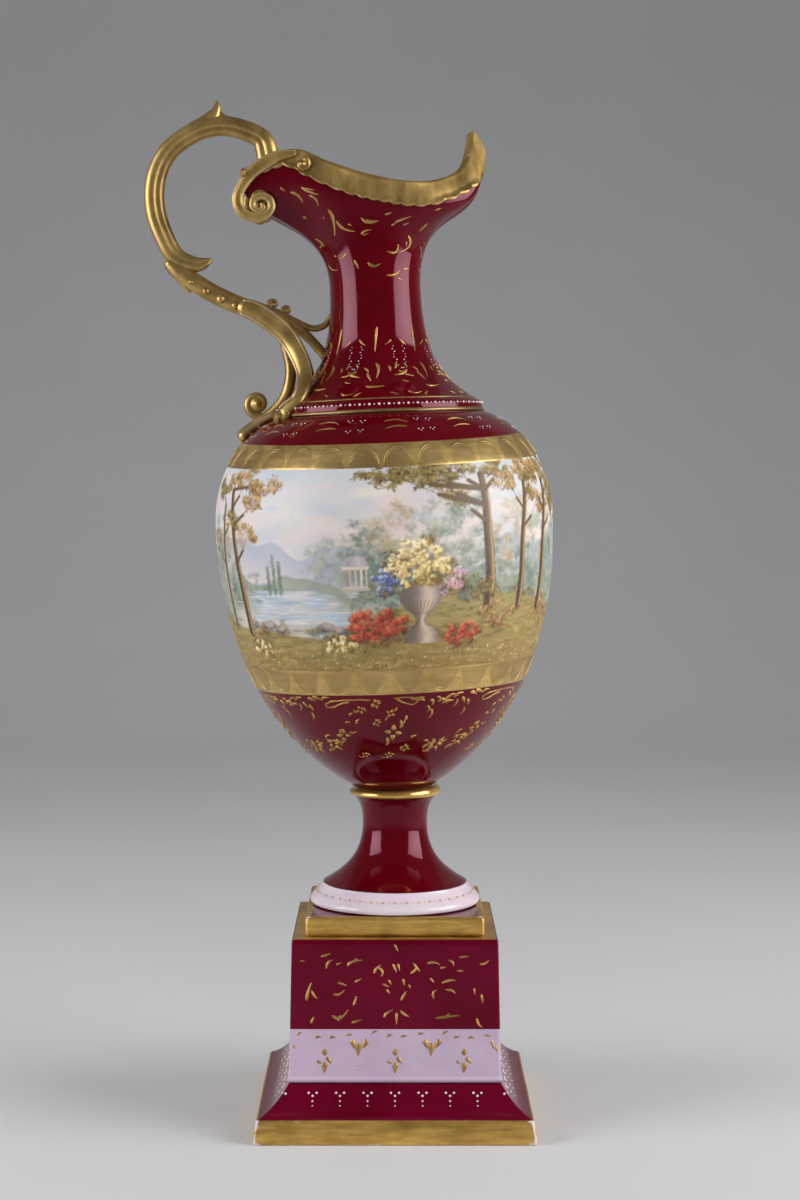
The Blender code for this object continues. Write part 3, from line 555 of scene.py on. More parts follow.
SPRAY = [
    ((-38.0, 31.2), (-36.2, 31.1)),
    ((-29.7, 32.9), (-25.9, 34.2)),
    ((-27.7, 28.2), (-26.6, 30.8), (-25.0, 31.5)),
    ((-23.6, 29.7), (-21.5, 30.6)),
    ((-19.1, 29.1), (-17.2, 30.9), (-13.2, 31.5)),
    ((-16.2, 32.1), (-14.4, 31.2)),
    ((-35.6, 15.4), (-35.0, 18.5), (-33.6, 22.6)),
    ((-33.6, 19.3), (-32.6, 17.3), (-31.2, 16.2)),
    ((-23.0, 22.6), (-21.2, 22.0), (-19.4, 21.3)),
    ((-16.2, 22.7), (-13.5, 24.1)),
    ((-24.7, 18.1), (-22.7, 17.8), (-20.3, 19.5)),
    ((-16.8, 13.4), (-15.9, 15.3), (-15.6, 17.2)),
    ((-25.3, 9.5), (-22.1, 8.3), (-18.8, 11.6)),
    ((-22.9, 7.1), (-22.0, 9.5)),
    ((-17.4, 6.5), (-13.2, 7.8)),
    ((-33.8, 6.2), (-32.6, 8.9)),
    ((-8.5, 26.2), (-7.4, 28.2), (-5.6, 29.7)),
    ((-6.8, 28.8), (-5.0, 26.7), (-5.6, 25.0)),
    ((-0.3, 37.8), (1.2, 35.1)),
    ((-0.9, 30.0), (0.6, 26.7)),
    ((1.2, 30.0), (1.9, 27.3)),
    ((-5.0, 22.0), (-2.4, 20.8)),
    ((-2.6, 23.7), (-1.5, 21.7)),
    ((-3.5, 19.9), (-2.1, 18.1)),
    ((3.2, 24.0), (3.8, 21.4)),
    ((5.6, 21.7), (6.2, 20.2)),
    ((2.4, 15.4), (3.8, 17.8), (4.4, 19.0)),
    ((6.2, 26.2), (8.5, 28.2), (7.4, 30.3)),
    ((7.7, 29.7), (10.0, 27.0)),
    ((-4.4, 8.6), (-3.2, 10.4), (-0.9, 11.6)),
    ((0.6, 10.4), (0.6, 5.9)),
    ((2.1, 11.3), (3.8, 9.8), (5.6, 8.9)),
    ((13.0, 30.2), (15.6, 30.6), (17.9, 29.7)),
    ((18.2, 28.4), (20.6, 28.8)),
    ((21.5, 31.5), (23.2, 30.6), (23.5, 29.1)),
    ((25.9, 32.7), (29.7, 33.0)),
    ((34.1, 30.0), (36.2, 30.2), (37.8, 31.6)),
    ((25.0, 27.3), (27.6, 27.2)),
    ((14.1, 24.4), (15.6, 22.6)),
    ((18.8, 22.3), (22.1, 23.5), (24.1, 23.2)),
    ((15.6, 16.0), (15.3, 18.4), (16.8, 19.6)),
    ((20.3, 19.7), (22.9, 19.3), (24.1, 18.1)),
    ((16.2, 8.3), (20.9, 8.9), (25.9, 9.5)),
    ((20.6, 8.9), (22.1, 10.4)),
    ((31.8, 20.2), (32.1, 17.8)),
    ((32.9, 8.3), (33.5, 5.9), (35.0, 4.7)),
    ((34.7, 17.8), (35.3, 14.3)),
]
SPRAY_FOOT = BAND_TOP - 3.9
SPRIG = [
    ((0.0, 12.0), (0.2, 9.4)),
    ((0.8, 8.9), (1.8, 7.6), (2.9, 6.3)),
    ((-2.0, 7.4), (-2.7, 6.5)),
    ((0.1, 6.8), (-0.1, 2.6)),
]
PENDANT = [
    ((-2.6, 15.0), (-2.0, 13.0), (-1.1, 11.2)),
    ((3.3, 15.0), (2.6, 13.0), (1.5, 11.6)),
    ((0.1, 13.6), (-0.1, 8.4)),
]
CORNER_STROKES = [
    ((-40.8, 13.0), (-40.2, 11.2)),
    ((38.6, 15.0), (39.2, 12.8), (39.8, 10.9)),
    ((40.4, 12.4), (41.0, 9.8)),
]
DASHES = [(-32.2, 15.6, 3), (-26.5, 15.4, 6), (-19.6, 16.4, 8), (-9.6, 17.2, 20), (-3.5, 16.0, 14)]
DASHES += [(2.2, 15.8, 10), (9.0, 16.9, 5), (19.0, 17.1, 22), (23.5, 15.4, 12), (29.3, 15.5, 0)]
DASHES += [(35.9, 16.4, -5), (-39.4, 16.4, 35)]
RING_MIDDLE = 8.0


def face_spot(turn, foot):
    """Place on one face of the block from millimetres across and above a foot line."""

    def spot(across, up):
        return turn @ Vector((across, -block_half_at(foot + up), foot + up))

    return spot


sprays = Drawing(None)
ring_points = []
for quarter in range(4):
    turn = Matrix.Rotation(math.pi / 2 * quarter, 3, "Z")
    sprays.spot = face_spot(turn, SPRAY_FOOT)
    for corners in SPRAY:
        long = (Vector(corners[-1]) - Vector(corners[0])).length
        sprays.stroke(corners, min(0.36 + 0.055 * long, 0.72))
    sprays.spot = face_spot(turn, BAND_FOOT)
    for middle in (-28.3, 0.0, 27.7):
        for corners in SPRIG:
            sprays.stroke([(middle + x, y - 1.0) for x, y in corners], 1.15 if len(corners) == 2 else 0.8)
    for middle in (-14.7, 14.5):
        for corners in PENDANT:
            sprays.stroke([(middle + x, y) for x, y in corners], 1.1)
        for radius, count in ((5.0, 14), (3.4, 9)):
            for step in range(count + 1):
                along = math.pi + math.pi * step / count
                across = middle + radius * math.cos(along)
                ring_points.append(sprays.spot(across, RING_MIDDLE + radius * math.sin(along)))
    for across, up, angle in DASHES:
        sprays.leaf(across, up, angle, 2.7, 0.52, 0.12)
    for corners in CORNER_STROKES:
        sprays.stroke(corners, 0.55)
sprays.make("block_sprays", block, "pedestal", 0.34)
pink_enamel = glaze("pink_enamel", (0.50, 0.29, 0.38, 1), (0.62, 0.40, 0.46, 1), 0.3)
enamel_dots("band_rings", ring_points, [0.22] * len(ring_points), "pedestal", pink_enamel)

# Plinth slab: thin square tile of pressed porcelain under the ewer's own foot, claret on top, its rounded
# edge gilded and rubbed at the corners. The rod goes through its middle and bolts it to the foot.
SLAB_HALF = 36.3
SLAB_FOOT = 78.8
SLAB_TOP = 86.5
SLAB_ROUND = 1.2
SLAB_CORNER = 1.3
ROUND_STEPS = 6
ROD_HOLE = 3.7
slab_flat = SLAB_HALF - SLAB_ROUND
quarter_turns = [math.pi / 2 * step / ROUND_STEPS for step in range(ROUND_STEPS + 1)]
slab_line = []
for turn in quarter_turns:
    low = SLAB_FOOT + SLAB_ROUND - SLAB_ROUND * math.cos(turn)
    slab_line.append((slab_flat + SLAB_ROUND * math.sin(turn), low, edge_gold))
for turn in quarter_turns:
    high = SLAB_TOP - SLAB_ROUND + SLAB_ROUND * math.sin(turn)
    slab_line.append((slab_flat + SLAB_ROUND * math.cos(turn), high, edge_gold))
slab_line.append((slab_flat - SLAB_ROUND, SLAB_TOP, crimson))
slab_loops = [round_loop(ROD_HOLE, SLAB_FOOT)]
slab_loops += [square_loop(half, height, SLAB_CORNER) for half, height, band in slab_line]
slab_loops.append(round_loop(ROD_HOLE, SLAB_TOP))
slab_bands = [biscuit] + [band for half, height, band in slab_line] + [biscuit]
slab_rows = [0.0, 0.3, 0.3, 0.2, 0.1, 0.0, 0.0, 0.0, 0.0, 0.0, 0.1, 0.2, 0.3, 0.4, 0.35, 0.1, 0.0]
slab_wear = corner_wear(slab_loops, slab_rows)
slab = skin("slab_tile", slab_loops, [edge_gold, crimson, biscuit], slab_bands, hollow=True, wear=slab_wear)
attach(slab, "ewer")
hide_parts("plinth_slab")

# Foot ring: ring of white porcelain with a swelling side, pressed in a mould and held between slab and
# foot, with a fine line of pink and gold beads set round it in enamel.


def turned(name, profile, materials, bands=None, around=96, tilt=None):
    """Piece turned from points of radius and height, upright or along the leaning axis."""
    angles = [2 * math.pi * side / around - math.pi / 2 for side in range(around)]
    loops = [[Vector((r * math.cos(a), r * math.sin(a), z)) for a in angles] for r, z in profile]
    if tilt:
        loops = [[tilt @ p for p in loop] for loop in loops]
    return skin(name, loops, materials, bands, hollow=True)


porcelain = glaze("white_porcelain", (0.60, 0.50, 0.58, 1), (0.70, 0.60, 0.66, 1), 0.10)
foot_side = bezier((35.5, 88.0), (35.5, 90.4), (31.2, 92.1), (30.0, 95.0), 10)
foot_line = [(26.0, 86.8), (34.2, 86.8), (35.1, 87.1), *foot_side, (29.2, 95.05), (26.0, 95.05)]
foot = turned("foot_moulding", foot_line, [porcelain])
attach(foot, "ewer")
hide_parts("foot_ring")
bead_colour = glaze("pink_gold_bead", (0.52, 0.27, 0.22, 1), (0.60, 0.40, 0.26, 1), 0.25)
bead_points = []
bead_widths = []
FOOT_BEADS = 84
BEAD_LINE = 91.6
bead_radius = float(np.interp(BEAD_LINE, [z for r, z in foot_side], [r for r, z in foot_side]))
for step in range(FOOT_BEADS):
    turn = 2 * math.pi * step / FOOT_BEADS
    bead_points.append(Vector((bead_radius * math.cos(turn), bead_radius * math.sin(turn), BEAD_LINE)))
    bead_widths.append(0.55 if step % 2 else 0.3)
enamel_dots("foot_beads", bead_points, bead_widths, "ewer", bead_colour)

# Trumpet foot: thrown porcelain, hollow, in claret glaze; it stands in the foot ring, and the rod that
# goes up through its closed top draws it down between belly and slab.
STEM_WAIST = (13.5, 119.9)
STEM_TOP = 131.3
trumpet = bezier((30.0, 95.3), (19.605, 101.204), (13.5, 107.6), STEM_WAIST, 26)
flare = bezier(STEM_WAIST, (13.5, 125.6), (15.02, 129.02), (17.3, STEM_TOP), 14)
stem_inside = [(10.0, 126.3), (10.0, 119.9), (12.0, 108.0), (19.0, 98.0)]
stem_line = [(22.7, 91.3), (25.7, 91.3), (25.7, 95.2), *trumpet, *flare[1:]]
stem_line += [(ROD_HOLE, STEM_TOP), (ROD_HOLE, 126.3), *stem_inside]
stem = turned("trumpet_foot", stem_line, [claret])
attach(stem, "ewer")
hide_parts("foot_stem")

# Collar: burnished gilt ring of porcelain that covers the joint between foot and belly; its top tilts
# with the leaning body, and the rod clamps it.
LEAN = math.radians(2.28)
BELLY_SEAT = 134.9
COLLAR_FOOT = 131.6
COLLAR_RISE = 3.0
COLLAR_RADIUS = 17.6
COLLAR_ROUND = 1.5
COLLAR_BORE = 8.0
COLLAR_STEPS = 16
COLLAR_SIDES = 96
lean = Matrix.Translation((0, 0, BELLY_SEAT)) @ Matrix.Rotation(-LEAN, 4, "Y")
burnished = gilding("burnished_gold", (0.80, 0.52, 0.16, 1), (0.55, 0.33, 0.085, 1), (1, 1, 6), 0.13)
collar_line = [(COLLAR_BORE, 0.0)]
for step in range(COLLAR_STEPS + 1):
    turn = math.pi * step / COLLAR_STEPS
    collar_line.append((COLLAR_RADIUS + COLLAR_ROUND * math.sin(turn), (1 - math.cos(turn)) / 2))
collar_line.append((COLLAR_BORE, 1.0))
collar_loops = []
for radius, share in collar_line:
    loop = []
    for side in range(COLLAR_SIDES):
        angle = 2 * math.pi * side / COLLAR_SIDES
        x = radius * math.cos(angle)
        height = COLLAR_FOOT + COLLAR_RISE * share + share * x * math.tan(LEAN)
        loop.append(Vector((x, radius * math.sin(angle), height)))
    collar_loops.append(loop)
collar = skin("gilt_collar", collar_loops, [burnished], hollow=True)
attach(collar, "ewer")
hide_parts("collar_ring")

# Belly: pear-shaped shell of cast porcelain in claret glaze, left white and a little sunk where the
# picture goes; two gilt bands frame the picture, polished on their figures and matt on their ground.
BELLY_WIDEST = (70.7, 112.3)
SHOULDER_TOP = 155.7
lower_belly = bezier((15.6, 0.0), (43.66, 15.27), (70.7, 51.21), BELLY_WIDEST, 90)
shoulder = bezier(BELLY_WIDEST, (70.7, 132.22), (59.81, 150.49), (43.6, SHOULDER_TOP), 70)
belly_side = lower_belly + shoulder[1:]
belly_radii = [r for r, z in belly_side]
belly_heights = [z for r, z in belly_side]


def belly_radius(height):
    """Radius of the belly at a height on its axis."""
    return float(np.interp(height, belly_heights, belly_radii))


LOWER_BAND = 43.7
PICTURE_FOOT = 53.7
PICTURE_TOP = 135.6
RECESS_TOP = 137.4
RECESS = 1.6
UPPER_BAND = 145.2
BELLY_TOP = 155.75
BELLY_FLOOR = 6.5


def body_spot(radius_at):
    """Place on a turned surface from an angle in degrees off the front and a height on the leaning axis."""

    def spot(turn, height, out=0.0):
        a = math.radians(turn)
        radius = radius_at(height) + out
        return lean @ Vector((radius * math.sin(a), -radius * math.cos(a), height))

    return spot


belly_spot = body_spot(belly_radius)
band_gold = gilding("band_gold", (0.63, 0.44, 0.165, 1), (0.42, 0.275, 0.092, 1), (1, 1, 5), 0.33)
shell_line = [(ROD_HOLE, 0.0, porcelain), (15.0, 0.0, claret)]
for height in np.linspace(0.3, LOWER_BAND, 30):
    shell_line.append((belly_radius(height), float(height), claret if height < LOWER_BAND else band_gold))
shell_line.append((belly_radius(PICTURE_FOOT), PICTURE_FOOT, porcelain))
for height in np.linspace(PICTURE_FOOT + 0.4, RECESS_TOP - 0.4, 22):
    shell_line.append((belly_radius(height) - RECESS, float(height), porcelain))
for height in np.linspace(RECESS_TOP, 155.6, 18):
    shell_line.append((belly_radius(height), float(height), claret))
shell_line.append((43.0, BELLY_TOP, claret))
belly_inside = [(38.0, BELLY_TOP), (38.0, 152.2), (50.0, 149.0), (60.0, 139.0), (66.5, 122.0), (66.9, 105.0)]
belly_inside += [(63.0, 70.0), (52.0, 42.0), (34.0, 19.0), (18.0, BELLY_FLOOR), (ROD_HOLE, BELLY_FLOOR)]
shell_line += [(radius, height, porcelain) for radius, height in belly_inside]
shell_profile = [(radius, height) for radius, height, band in shell_line]
shell_bands = [band for radius, height, band in shell_line]
belly = turned("belly_shell", shell_profile, [claret, band_gold, porcelain], shell_bands, 192, lean)
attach(belly, "ewer")
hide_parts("belly")


def two_tone(name, bright, dull):
    """Gilding polished on its figure and left matt on its ground."""
    made = gilding(name, bright, dull, (1, 1, 5), 0.30)
    shader = made.node_tree.nodes["Principled BSDF"]
    tone = shading(made, "Attribute", {}, attribute_name="tone").outputs["Fac"]
    plain = shader.inputs["Base Color"].links[0].from_socket
    shade = blend(made, levels(made, tone, 0.0, 1.0, 0.45, 0.0), plain, (0.27, 0.182, 0.078, 1))
    feed(made, shader, "Base Color", shade)
    return made


two_tone_gold = two_tone("two_tone_gold", (0.70, 0.48, 0.18, 1), (0.48, 0.315, 0.108, 1))
GILT_LIFT = 0.14
GILT_ROWS = 23
GILT_SIDES = 720


def band_dip(turn):
    """The upper band is laid by hand and hangs lower at the front than at the sides."""
    return 1.4 - 3.4 * max(math.cos(math.radians(turn)), 0.0)


def gilt_band(name, low, high, tone_at, dips):
    """Closed gilt band over the shell, with a two-tone figure stored for its material."""
    turns = [360 * side / GILT_SIDES - 180 for side in range(GILT_SIDES)]
    drops = [dips * band_dip(turn) for turn in turns]
    loops = []
    tones = []
    for height in np.linspace(low, high, GILT_ROWS):
        lift = GILT_LIFT if low < height < high else 0.02
        loops.append([belly_spot(turn, height + drop, lift) for turn, drop in zip(turns, drops)])
        tones += [tone_at(turn, (height - low) / (high - low)) for turn in turns]
    for height in (high - 0.3, low + 0.3):
        loops.append([belly_spot(turn, height + drop, -0.7) for turn, drop in zip(turns, drops)])
        tones += [0.0] * GILT_SIDES
    piece = skin(name, loops, [two_tone_gold], hollow=True)
    layer = piece.data.attributes.new("tone", "FLOAT", "POINT")
    layer.data.foreach_set("value", tones)
    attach(piece, "ewer")


ARCHES = 30
ARCH_STEP = 12.0
SWAGS = 26
SWAG_STEP = 13.846
SWAG_FULLNESS = 2.6


def arch_tone(turn, share):
    """Ground inside round-topped arches, polished gold outside."""
    across = ((turn + 180) / ARCH_STEP) % 1.0 * 2 - 1
    return 0.0 if abs(across) < 0.86 * math.sqrt(max(1 - share**2.4, 0)) else 1.0


def swag_tone(turn, share):
    """Ground inside hanging swags, polished gold below and between them."""
    across = ((turn + 180) / SWAG_STEP) % 1.0 * 2 - 1
    return 0.0 if 1 - share < 0.92 * (1 - abs(across) ** SWAG_FULLNESS) else 1.0


gilt_band("upper_gilt_band", PICTURE_TOP, UPPER_BAND, arch_tone, 1)
gilt_band("lower_gilt_band", LOWER_BAND, PICTURE_FOOT, swag_tone, 0)

bright_gold = gilding("bright_gold", (0.68, 0.47, 0.18, 1), (0.50, 0.33, 0.11, 1), (1, 1, 1), 0.34)
ARCH_HALF = 5.15
SWAG_HALF = 6.3
SWAG_LINE = PICTURE_FOOT - 0.4
etched = Drawing(belly_spot)
for arch in range(ARCHES):
    middle = ARCH_STEP * (arch + 0.5)
    for inset, width in ((ARCH_HALF, 0.15), (4.55, 0.10)):
        arc = []
        for step in range(17):
            lift = math.pi * step / 16
            turn = middle + inset * math.cos(lift)
            rise = 7.6 * inset / ARCH_HALF * math.sin(lift) ** 0.8
            arc.append((turn, PICTURE_TOP + band_dip(turn) + 0.5 + rise, GILT_LIFT))
        etched.line(arc, width)
swag_points = []
for swag in range(SWAGS):
    middle = SWAG_STEP * (swag + 0.5)
    for inset, width in ((SWAG_HALF, 0.16), (5.6, 0.11)):
        arc = []
        for step in range(15):
            across = step / 7 - 1
            hang = (1 - abs(across) ** SWAG_FULLNESS) * inset / SWAG_HALF
            drop = (SWAG_LINE - LOWER_BAND) * 0.93 * hang
            arc.append((middle + inset * across, SWAG_LINE - drop, GILT_LIFT))
        etched.line(arc, width)
    edge = middle + SWAG_STEP / 2
    etched.line([(edge, PICTURE_FOOT - 0.5, GILT_LIFT), (edge, PICTURE_FOOT - 3.2, GILT_LIFT)], 0.16)
    for offset, height in ((0, -4.4), (0, -6.2), (-1.6, -7.6), (1.6, -7.6), (0, -8.6)):
        swag_points.append(belly_spot(edge + offset, PICTURE_FOOT + height, GILT_LIFT))
etched.make("etched_bands", belly, "ewer", 0.9, bright_gold)
enamel_dots("swag_dots", swag_points, [0.3] * len(swag_points), "ewer", bright_gold)

# Painted band: overglaze enamels on the white glaze, a lake landscape with trees, rocks and flowers that
# runs all round. It is laid brush mark by brush mark on a fine sheet and fired as a thin layer.
MARKS_PER_MM = 3.25
ARC = 444.0
END = ARC / 2
WIDE = int(ARC * MARKS_PER_MM)
HIGH = 288
canvas = np.zeros((HIGH, WIDE, 3))
columns = (np.arange(WIDE) - WIDE / 2) / MARKS_PER_MM
rows = np.arange(HIGH)[:, None] / MARKS_PER_MM
hand = np.random.default_rng(11)


def dab(x, y, long, short, turn, colour, strength=0.8, soft=0.4):
    """One brush mark: soft-edged ellipse, in millimetres from the front and from the band's foot."""
    reach = max(long, short) * MARKS_PER_MM + 1
    px = x * MARKS_PER_MM + WIDE / 2
    py = y * MARKS_PER_MM
    ys = np.arange(max(int(py - reach), 0), min(int(py + reach) + 1, HIGH))
    if len(ys) == 0:
        return
    xs = np.arange(int(px - reach), int(px + reach) + 1)
    dx = (xs[None, :] - px) / MARKS_PER_MM
    dy = (ys[:, None] - py) / MARKS_PER_MM
    c = math.cos(math.radians(turn))
    s = math.sin(math.radians(turn))
    far = np.hypot((dx * c + dy * s) / long, (dy * c - dx * s) / short)
    cover = (strength * np.clip((1 - far) / soft, 0, 1))[..., None]
    patch = np.ix_(ys, xs % WIDE)
    canvas[patch] += cover * (np.array(colour) / 255 - canvas[patch])


def trail(path, start, end, colour, strength=0.9, soft=0.5):
    """Brush drawn along points, its width going from start to end."""
    for (x0, y0), (x1, y1), share in zip(path, path[1:], np.linspace(0, 1, len(path) - 1)):
        width = start + (end - start) * share
        count = max(int(math.hypot(x1 - x0, y1 - y0) / max(width * 0.6, 0.15)), 1)
        for t in np.linspace(0, 1, count):
            dab(x0 + (x1 - x0) * t, y0 + (y1 - y0) * t, width, width, 0, colour, strength, soft)


def foliage(x, y, wide, high, count, palette, size, strength=0.7):
    """Leaf mass: a soft shade, then clumps of leaf strokes, each dark below and light above."""
    clumps = max(int(1.3 * math.sqrt(wide * high)), 3)
    for clump in range(clumps):
        angle = hand.uniform(0, 2 * math.pi)
        far = math.sqrt(hand.uniform(0, 0.85))
        cx = x + wide * far * math.cos(angle)
        cy = y + high * far * math.sin(angle)
        spread = math.sqrt(wide * high / clumps) * hand.uniform(0.55, 1.0)
        dab(cx, cy, 1.6 * spread, 1.1 * spread, hand.uniform(-30, 30), palette[1], 0.6 * strength, 1.0)
        tone = hand.normal(0, 8)
        for share in np.arange(0, 1, clumps / count):
            px = cx + 0.7 * spread * hand.normal()
            py = cy + spread * (0.45 * hand.normal() + 0.6 * share - 0.3)
            colour = np.array(palette[int(share * len(palette))]) + tone + hand.normal(0, 6, 3)
            long = size * hand.uniform(0.5, 1.2)
            dab(px, py, long, 0.5 * long, hand.uniform(0, 180), colour, strength, 0.7)


sky = np.clip((rows - 34) / 53, 0, 1)[..., None]
sky_low = np.array((230, 210, 192)) / 255
sky_mid = np.array((214, 202, 198)) / 255
sky_top = np.array((192, 197, 203)) / 255
lower_sky = sky_low + (sky_mid - sky_low) * sky * 2
upper_sky = sky_mid + (sky_top - sky_mid) * (sky * 2 - 1)
canvas[:] = np.where(sky < 0.5, lower_sky, upper_sky)
CLOUD = ((232, 204, 194), (238, 222, 204), (156, 178, 202), (204, 192, 202), (222, 196, 188))
for index in range(220):
    size = hand.uniform(6, 22)
    x = hand.uniform(-END, END)
    dab(x, hand.uniform(44, 90), size, size * 0.3, hand.uniform(-16, 16), CLOUD[index % 5], 0.4, 1.0)


def ridge(low, swing, phase, colour, haze, counts):
    """Far hills: a skyline of some counts of waves, its colour fading toward the foot."""
    skyline = 0
    for index, count in enumerate(counts):
        waves = np.sin(2 * math.pi * columns / ARC * count + phase * count)
        skyline = skyline + 0.55**index * waves
    depth = low + swing * skyline[None, :] - rows
    cover = np.clip(depth * 1.2, 0, 1) * np.clip(1 - depth / haze, 0.25, 1) * 0.8
    canvas[:] += cover[..., None] * (np.array(colour) / 255 - canvas)


ridge(50, 8.0, 1.3, (158, 164, 186), 34, (3, 7, 13, 22))
ridge(43, 5.0, 0.4, (140, 154, 166), 26, (4, 9, 17, 29))
ridge(38.5, 3.0, 2.2, (132, 142, 122), 20, (5, 12, 21, 37))

OLIVE = ((62, 48, 24), (84, 68, 34), (110, 92, 46), (136, 116, 60), (168, 146, 88))
RUSSET = ((80, 52, 28), (112, 76, 40), (142, 104, 56), (172, 134, 80), (200, 168, 116))
DISTANT = ((118, 130, 122), (136, 146, 132), (156, 160, 138), (176, 174, 150))
PALE_RUSSET = ((150, 126, 92), (168, 142, 104), (188, 162, 122), (206, 184, 148))
TEAL = ((70, 90, 88), (92, 112, 102), (118, 132, 112), (146, 150, 122))

for x in np.arange(-END, END, 3.2):
    open_water = min(abs(x + 42) / 34, abs(x - 150) / 44, 1.0)
    if hand.uniform() < open_water:
        high = 9 + 13 * hand.uniform() * open_water
        foliage(x, 32 + high * 0.6, 7, high, 46, DISTANT if hand.uniform() < 0.6 else TEAL, 2.4, 0.34)
HAZE = ((-26, 50, 8, 9), (-12, 55, 10, 13), (4, 60, 12, 13), (20, 62, 12, 14), (38, 60, 14, 16))
HAZE += ((58, 58, 13, 17), (78, 58, 14, 17), (-88, 54, 12, 15), (-74, 56, 9, 13), (108, 54, 12, 12))
HAZE += ((-150, 54, 16, 14), (200, 54, 15, 14))
for index, (x, y, wide, high) in enumerate(HAZE):
    foliage(x, y, wide, high, int(1.1 * wide * high), (DISTANT, TEAL, PALE_RUSSET)[index % 3], 2.0, 0.26)
LAKES = ((-42, 38), (150, 52))
WATER = ((168, 186, 204), (198, 202, 210), (146, 168, 188), (214, 200, 194))
for middle, half in LAKES:
    for index in range(300):
        y = hand.uniform(21, 36)
        x = middle + half * hand.uniform(-1, 1) * (1.15 - 0.02 * y)
        dab(x, y, hand.uniform(3, 9), hand.uniform(0.35, 0.9), hand.normal(0, 2), WATER[index % 4], 0.6, 0.7)
    for index in range(26):
        x = middle + half * hand.uniform(-0.95, 0.95)
        dab(x, hand.uniform(22, 35), hand.uniform(1.5, 5), 0.22, 0, (232, 232, 232), 0.7, 0.7)
shore = 22 + 2.2 * np.sin(columns / 23) + 1.6 * np.sin(columns / 9.5 + 1.0)
for middle, half in LAKES:
    shore = shore - 3.5 * np.exp(-(((columns - middle) / half) ** 4))
knoll = 12 * np.exp(-(((columns - 34) / 30) ** 2)) + 6 * np.exp(-(((columns - 92) / 26) ** 2))
shore = shore + knoll + 11 * np.exp(-(((columns + 128) / 28) ** 2))
land = np.clip((shore[None, :] - rows) * 0.7, 0, 1)[..., None]
depth = np.clip(rows / 30, 0, 1)[..., None]
near_earth = np.array((146, 116, 60)) / 255
far_earth = np.array((150, 138, 88)) / 255
canvas[:] += land * (near_earth + (far_earth - near_earth) * depth - canvas)
GRASS = ((182, 158, 98), (118, 104, 56), (160, 124, 64), (110, 110, 62), (192, 170, 116), (104, 76, 40))
for index in range(2600):
    x = hand.uniform(-END, END)
    limit = float(np.interp(x, columns, shore))
    y = hand.uniform(0, max(limit - 1.0, 2))
    dab(x, y, hand.uniform(1.5, 6), hand.uniform(0.4, 1.2), hand.normal(0, 9), GRASS[index % 6], 0.42, 0.9)
SHADE = (72, 54, 34)
for index in range(160):
    x = hand.normal(8, 26)
    y = hand.uniform(13, 19)
    dab(x, y, hand.uniform(2, 6), hand.uniform(0.5, 1.2), hand.normal(0, 6), SHADE, 0.4, 0.9)
for x, tall in ((-52, 12), (-49, 17), (-46, 14), (120, 15), (124, 19), (128, 16), (168, 12)):
    for step in range(26):
        share = step / 26
        wide = 1.5 * (1 - share) ** 0.6 + 0.25
        tint = np.array((92, 108, 96)) + 34 * hand.uniform(-0.3, 1) * np.array((1, 1, 0.8))
        dab(x + hand.normal(0, 0.25), 35 + tall * share, wide, 1.2, 90, tint, 0.6, 0.6)
for x in np.arange(-END, END, 6.5):
    limit = float(np.interp(x, columns, shore))
    leaves = TEAL if hand.uniform() < 0.45 else OLIVE
    foliage(x + hand.normal(0, 2), limit + hand.uniform(0.0, 2.0), 4.5, 2.6, 40, leaves, 1.1, 0.5)
ROCKS = ((-56, 20, 5.2), (-49, 18.4, 4.0), (-27, 19.6, 5.6), (-20, 18.2, 4.2), (-66, 21, 4.4))
ROCKS += ((138, 19, 5.2), (147, 18, 4.0))
STONE = ((70, 60, 66), (104, 92, 96), (140, 126, 124), (172, 156, 146))
for x, y, wide in ROCKS:
    for index in range(20):
        px = x + hand.normal(0, wide * 0.32)
        py = y + hand.normal(0, 0.5) + index * 0.08
        dab(px, py, wide * 0.42, 1.2, hand.normal(0, 14), STONE[index // 5], 0.7, 0.5)
    dab(x, y - 1.8, wide * 1.2, 0.6, 0, (96, 98, 96), 0.6, 0.7)


def garden_temple(x, foot, size):
    """Round garden temple in the distance: steps, five columns, ring beam and dome."""
    for lift, half in ((0.0, 10.4), (1.0, 9.4), (2.0, 8.6)):
        tint = (178 + 10 * lift, 164 + 10 * lift, 152 + 8 * lift)
        y = foot + size * lift
        trail([(x - size * half, y), (x + size * half, y)], size * 0.62, size * 0.62, tint, 1, 0.3)
    dab(x, foot + 9 * size, 6.6 * size, 6.6 * size, 0, (128, 130, 128), 0.55, 0.5)
    for across, light in ((-7.0, 0.0), (-3.7, 0.35), (0.0, 0.7), (3.7, 0.95), (7.0, 0.6)):
        tint = np.array((160, 144, 136)) + light * np.array((62, 60, 54))
        px = x + size * across
        trail([(px, foot + 2.8 * size), (px, foot + 14.2 * size)], 0.72 * size, 0.62 * size, tint, 1, 0.35)
    beam = ((14.7, 8.3, (206, 190, 174)), (15.8, 8.8, (222, 206, 188)), (16.7, 8.3, (172, 156, 146)))
    for lift, half, tint in beam:
        y = foot + size * lift
        trail([(x - size * half, y), (x + size * half, y)], size * 0.55, size * 0.55, tint, 1, 0.35)
    for step in range(22):
        lift = step / 21
        half = size * (7.4 * math.sqrt(max(1 - lift**2, 0)) + 0.2)
        y = foot + size * (17.2 + 6.2 * lift)
        trail([(x - half, y), (x + half, y)], 0.34, 0.34, (172, 164, 170), 1, 0.4)
        dab(x + 0.35 * half, y, half * 0.42, 0.42, 0, (220, 206, 198), 0.6, 0.8)
        dab(x - 0.6 * half, y, half * 0.34, 0.42, 0, (134, 128, 142), 0.5, 0.8)


garden_temple(-12, 36, 0.62)


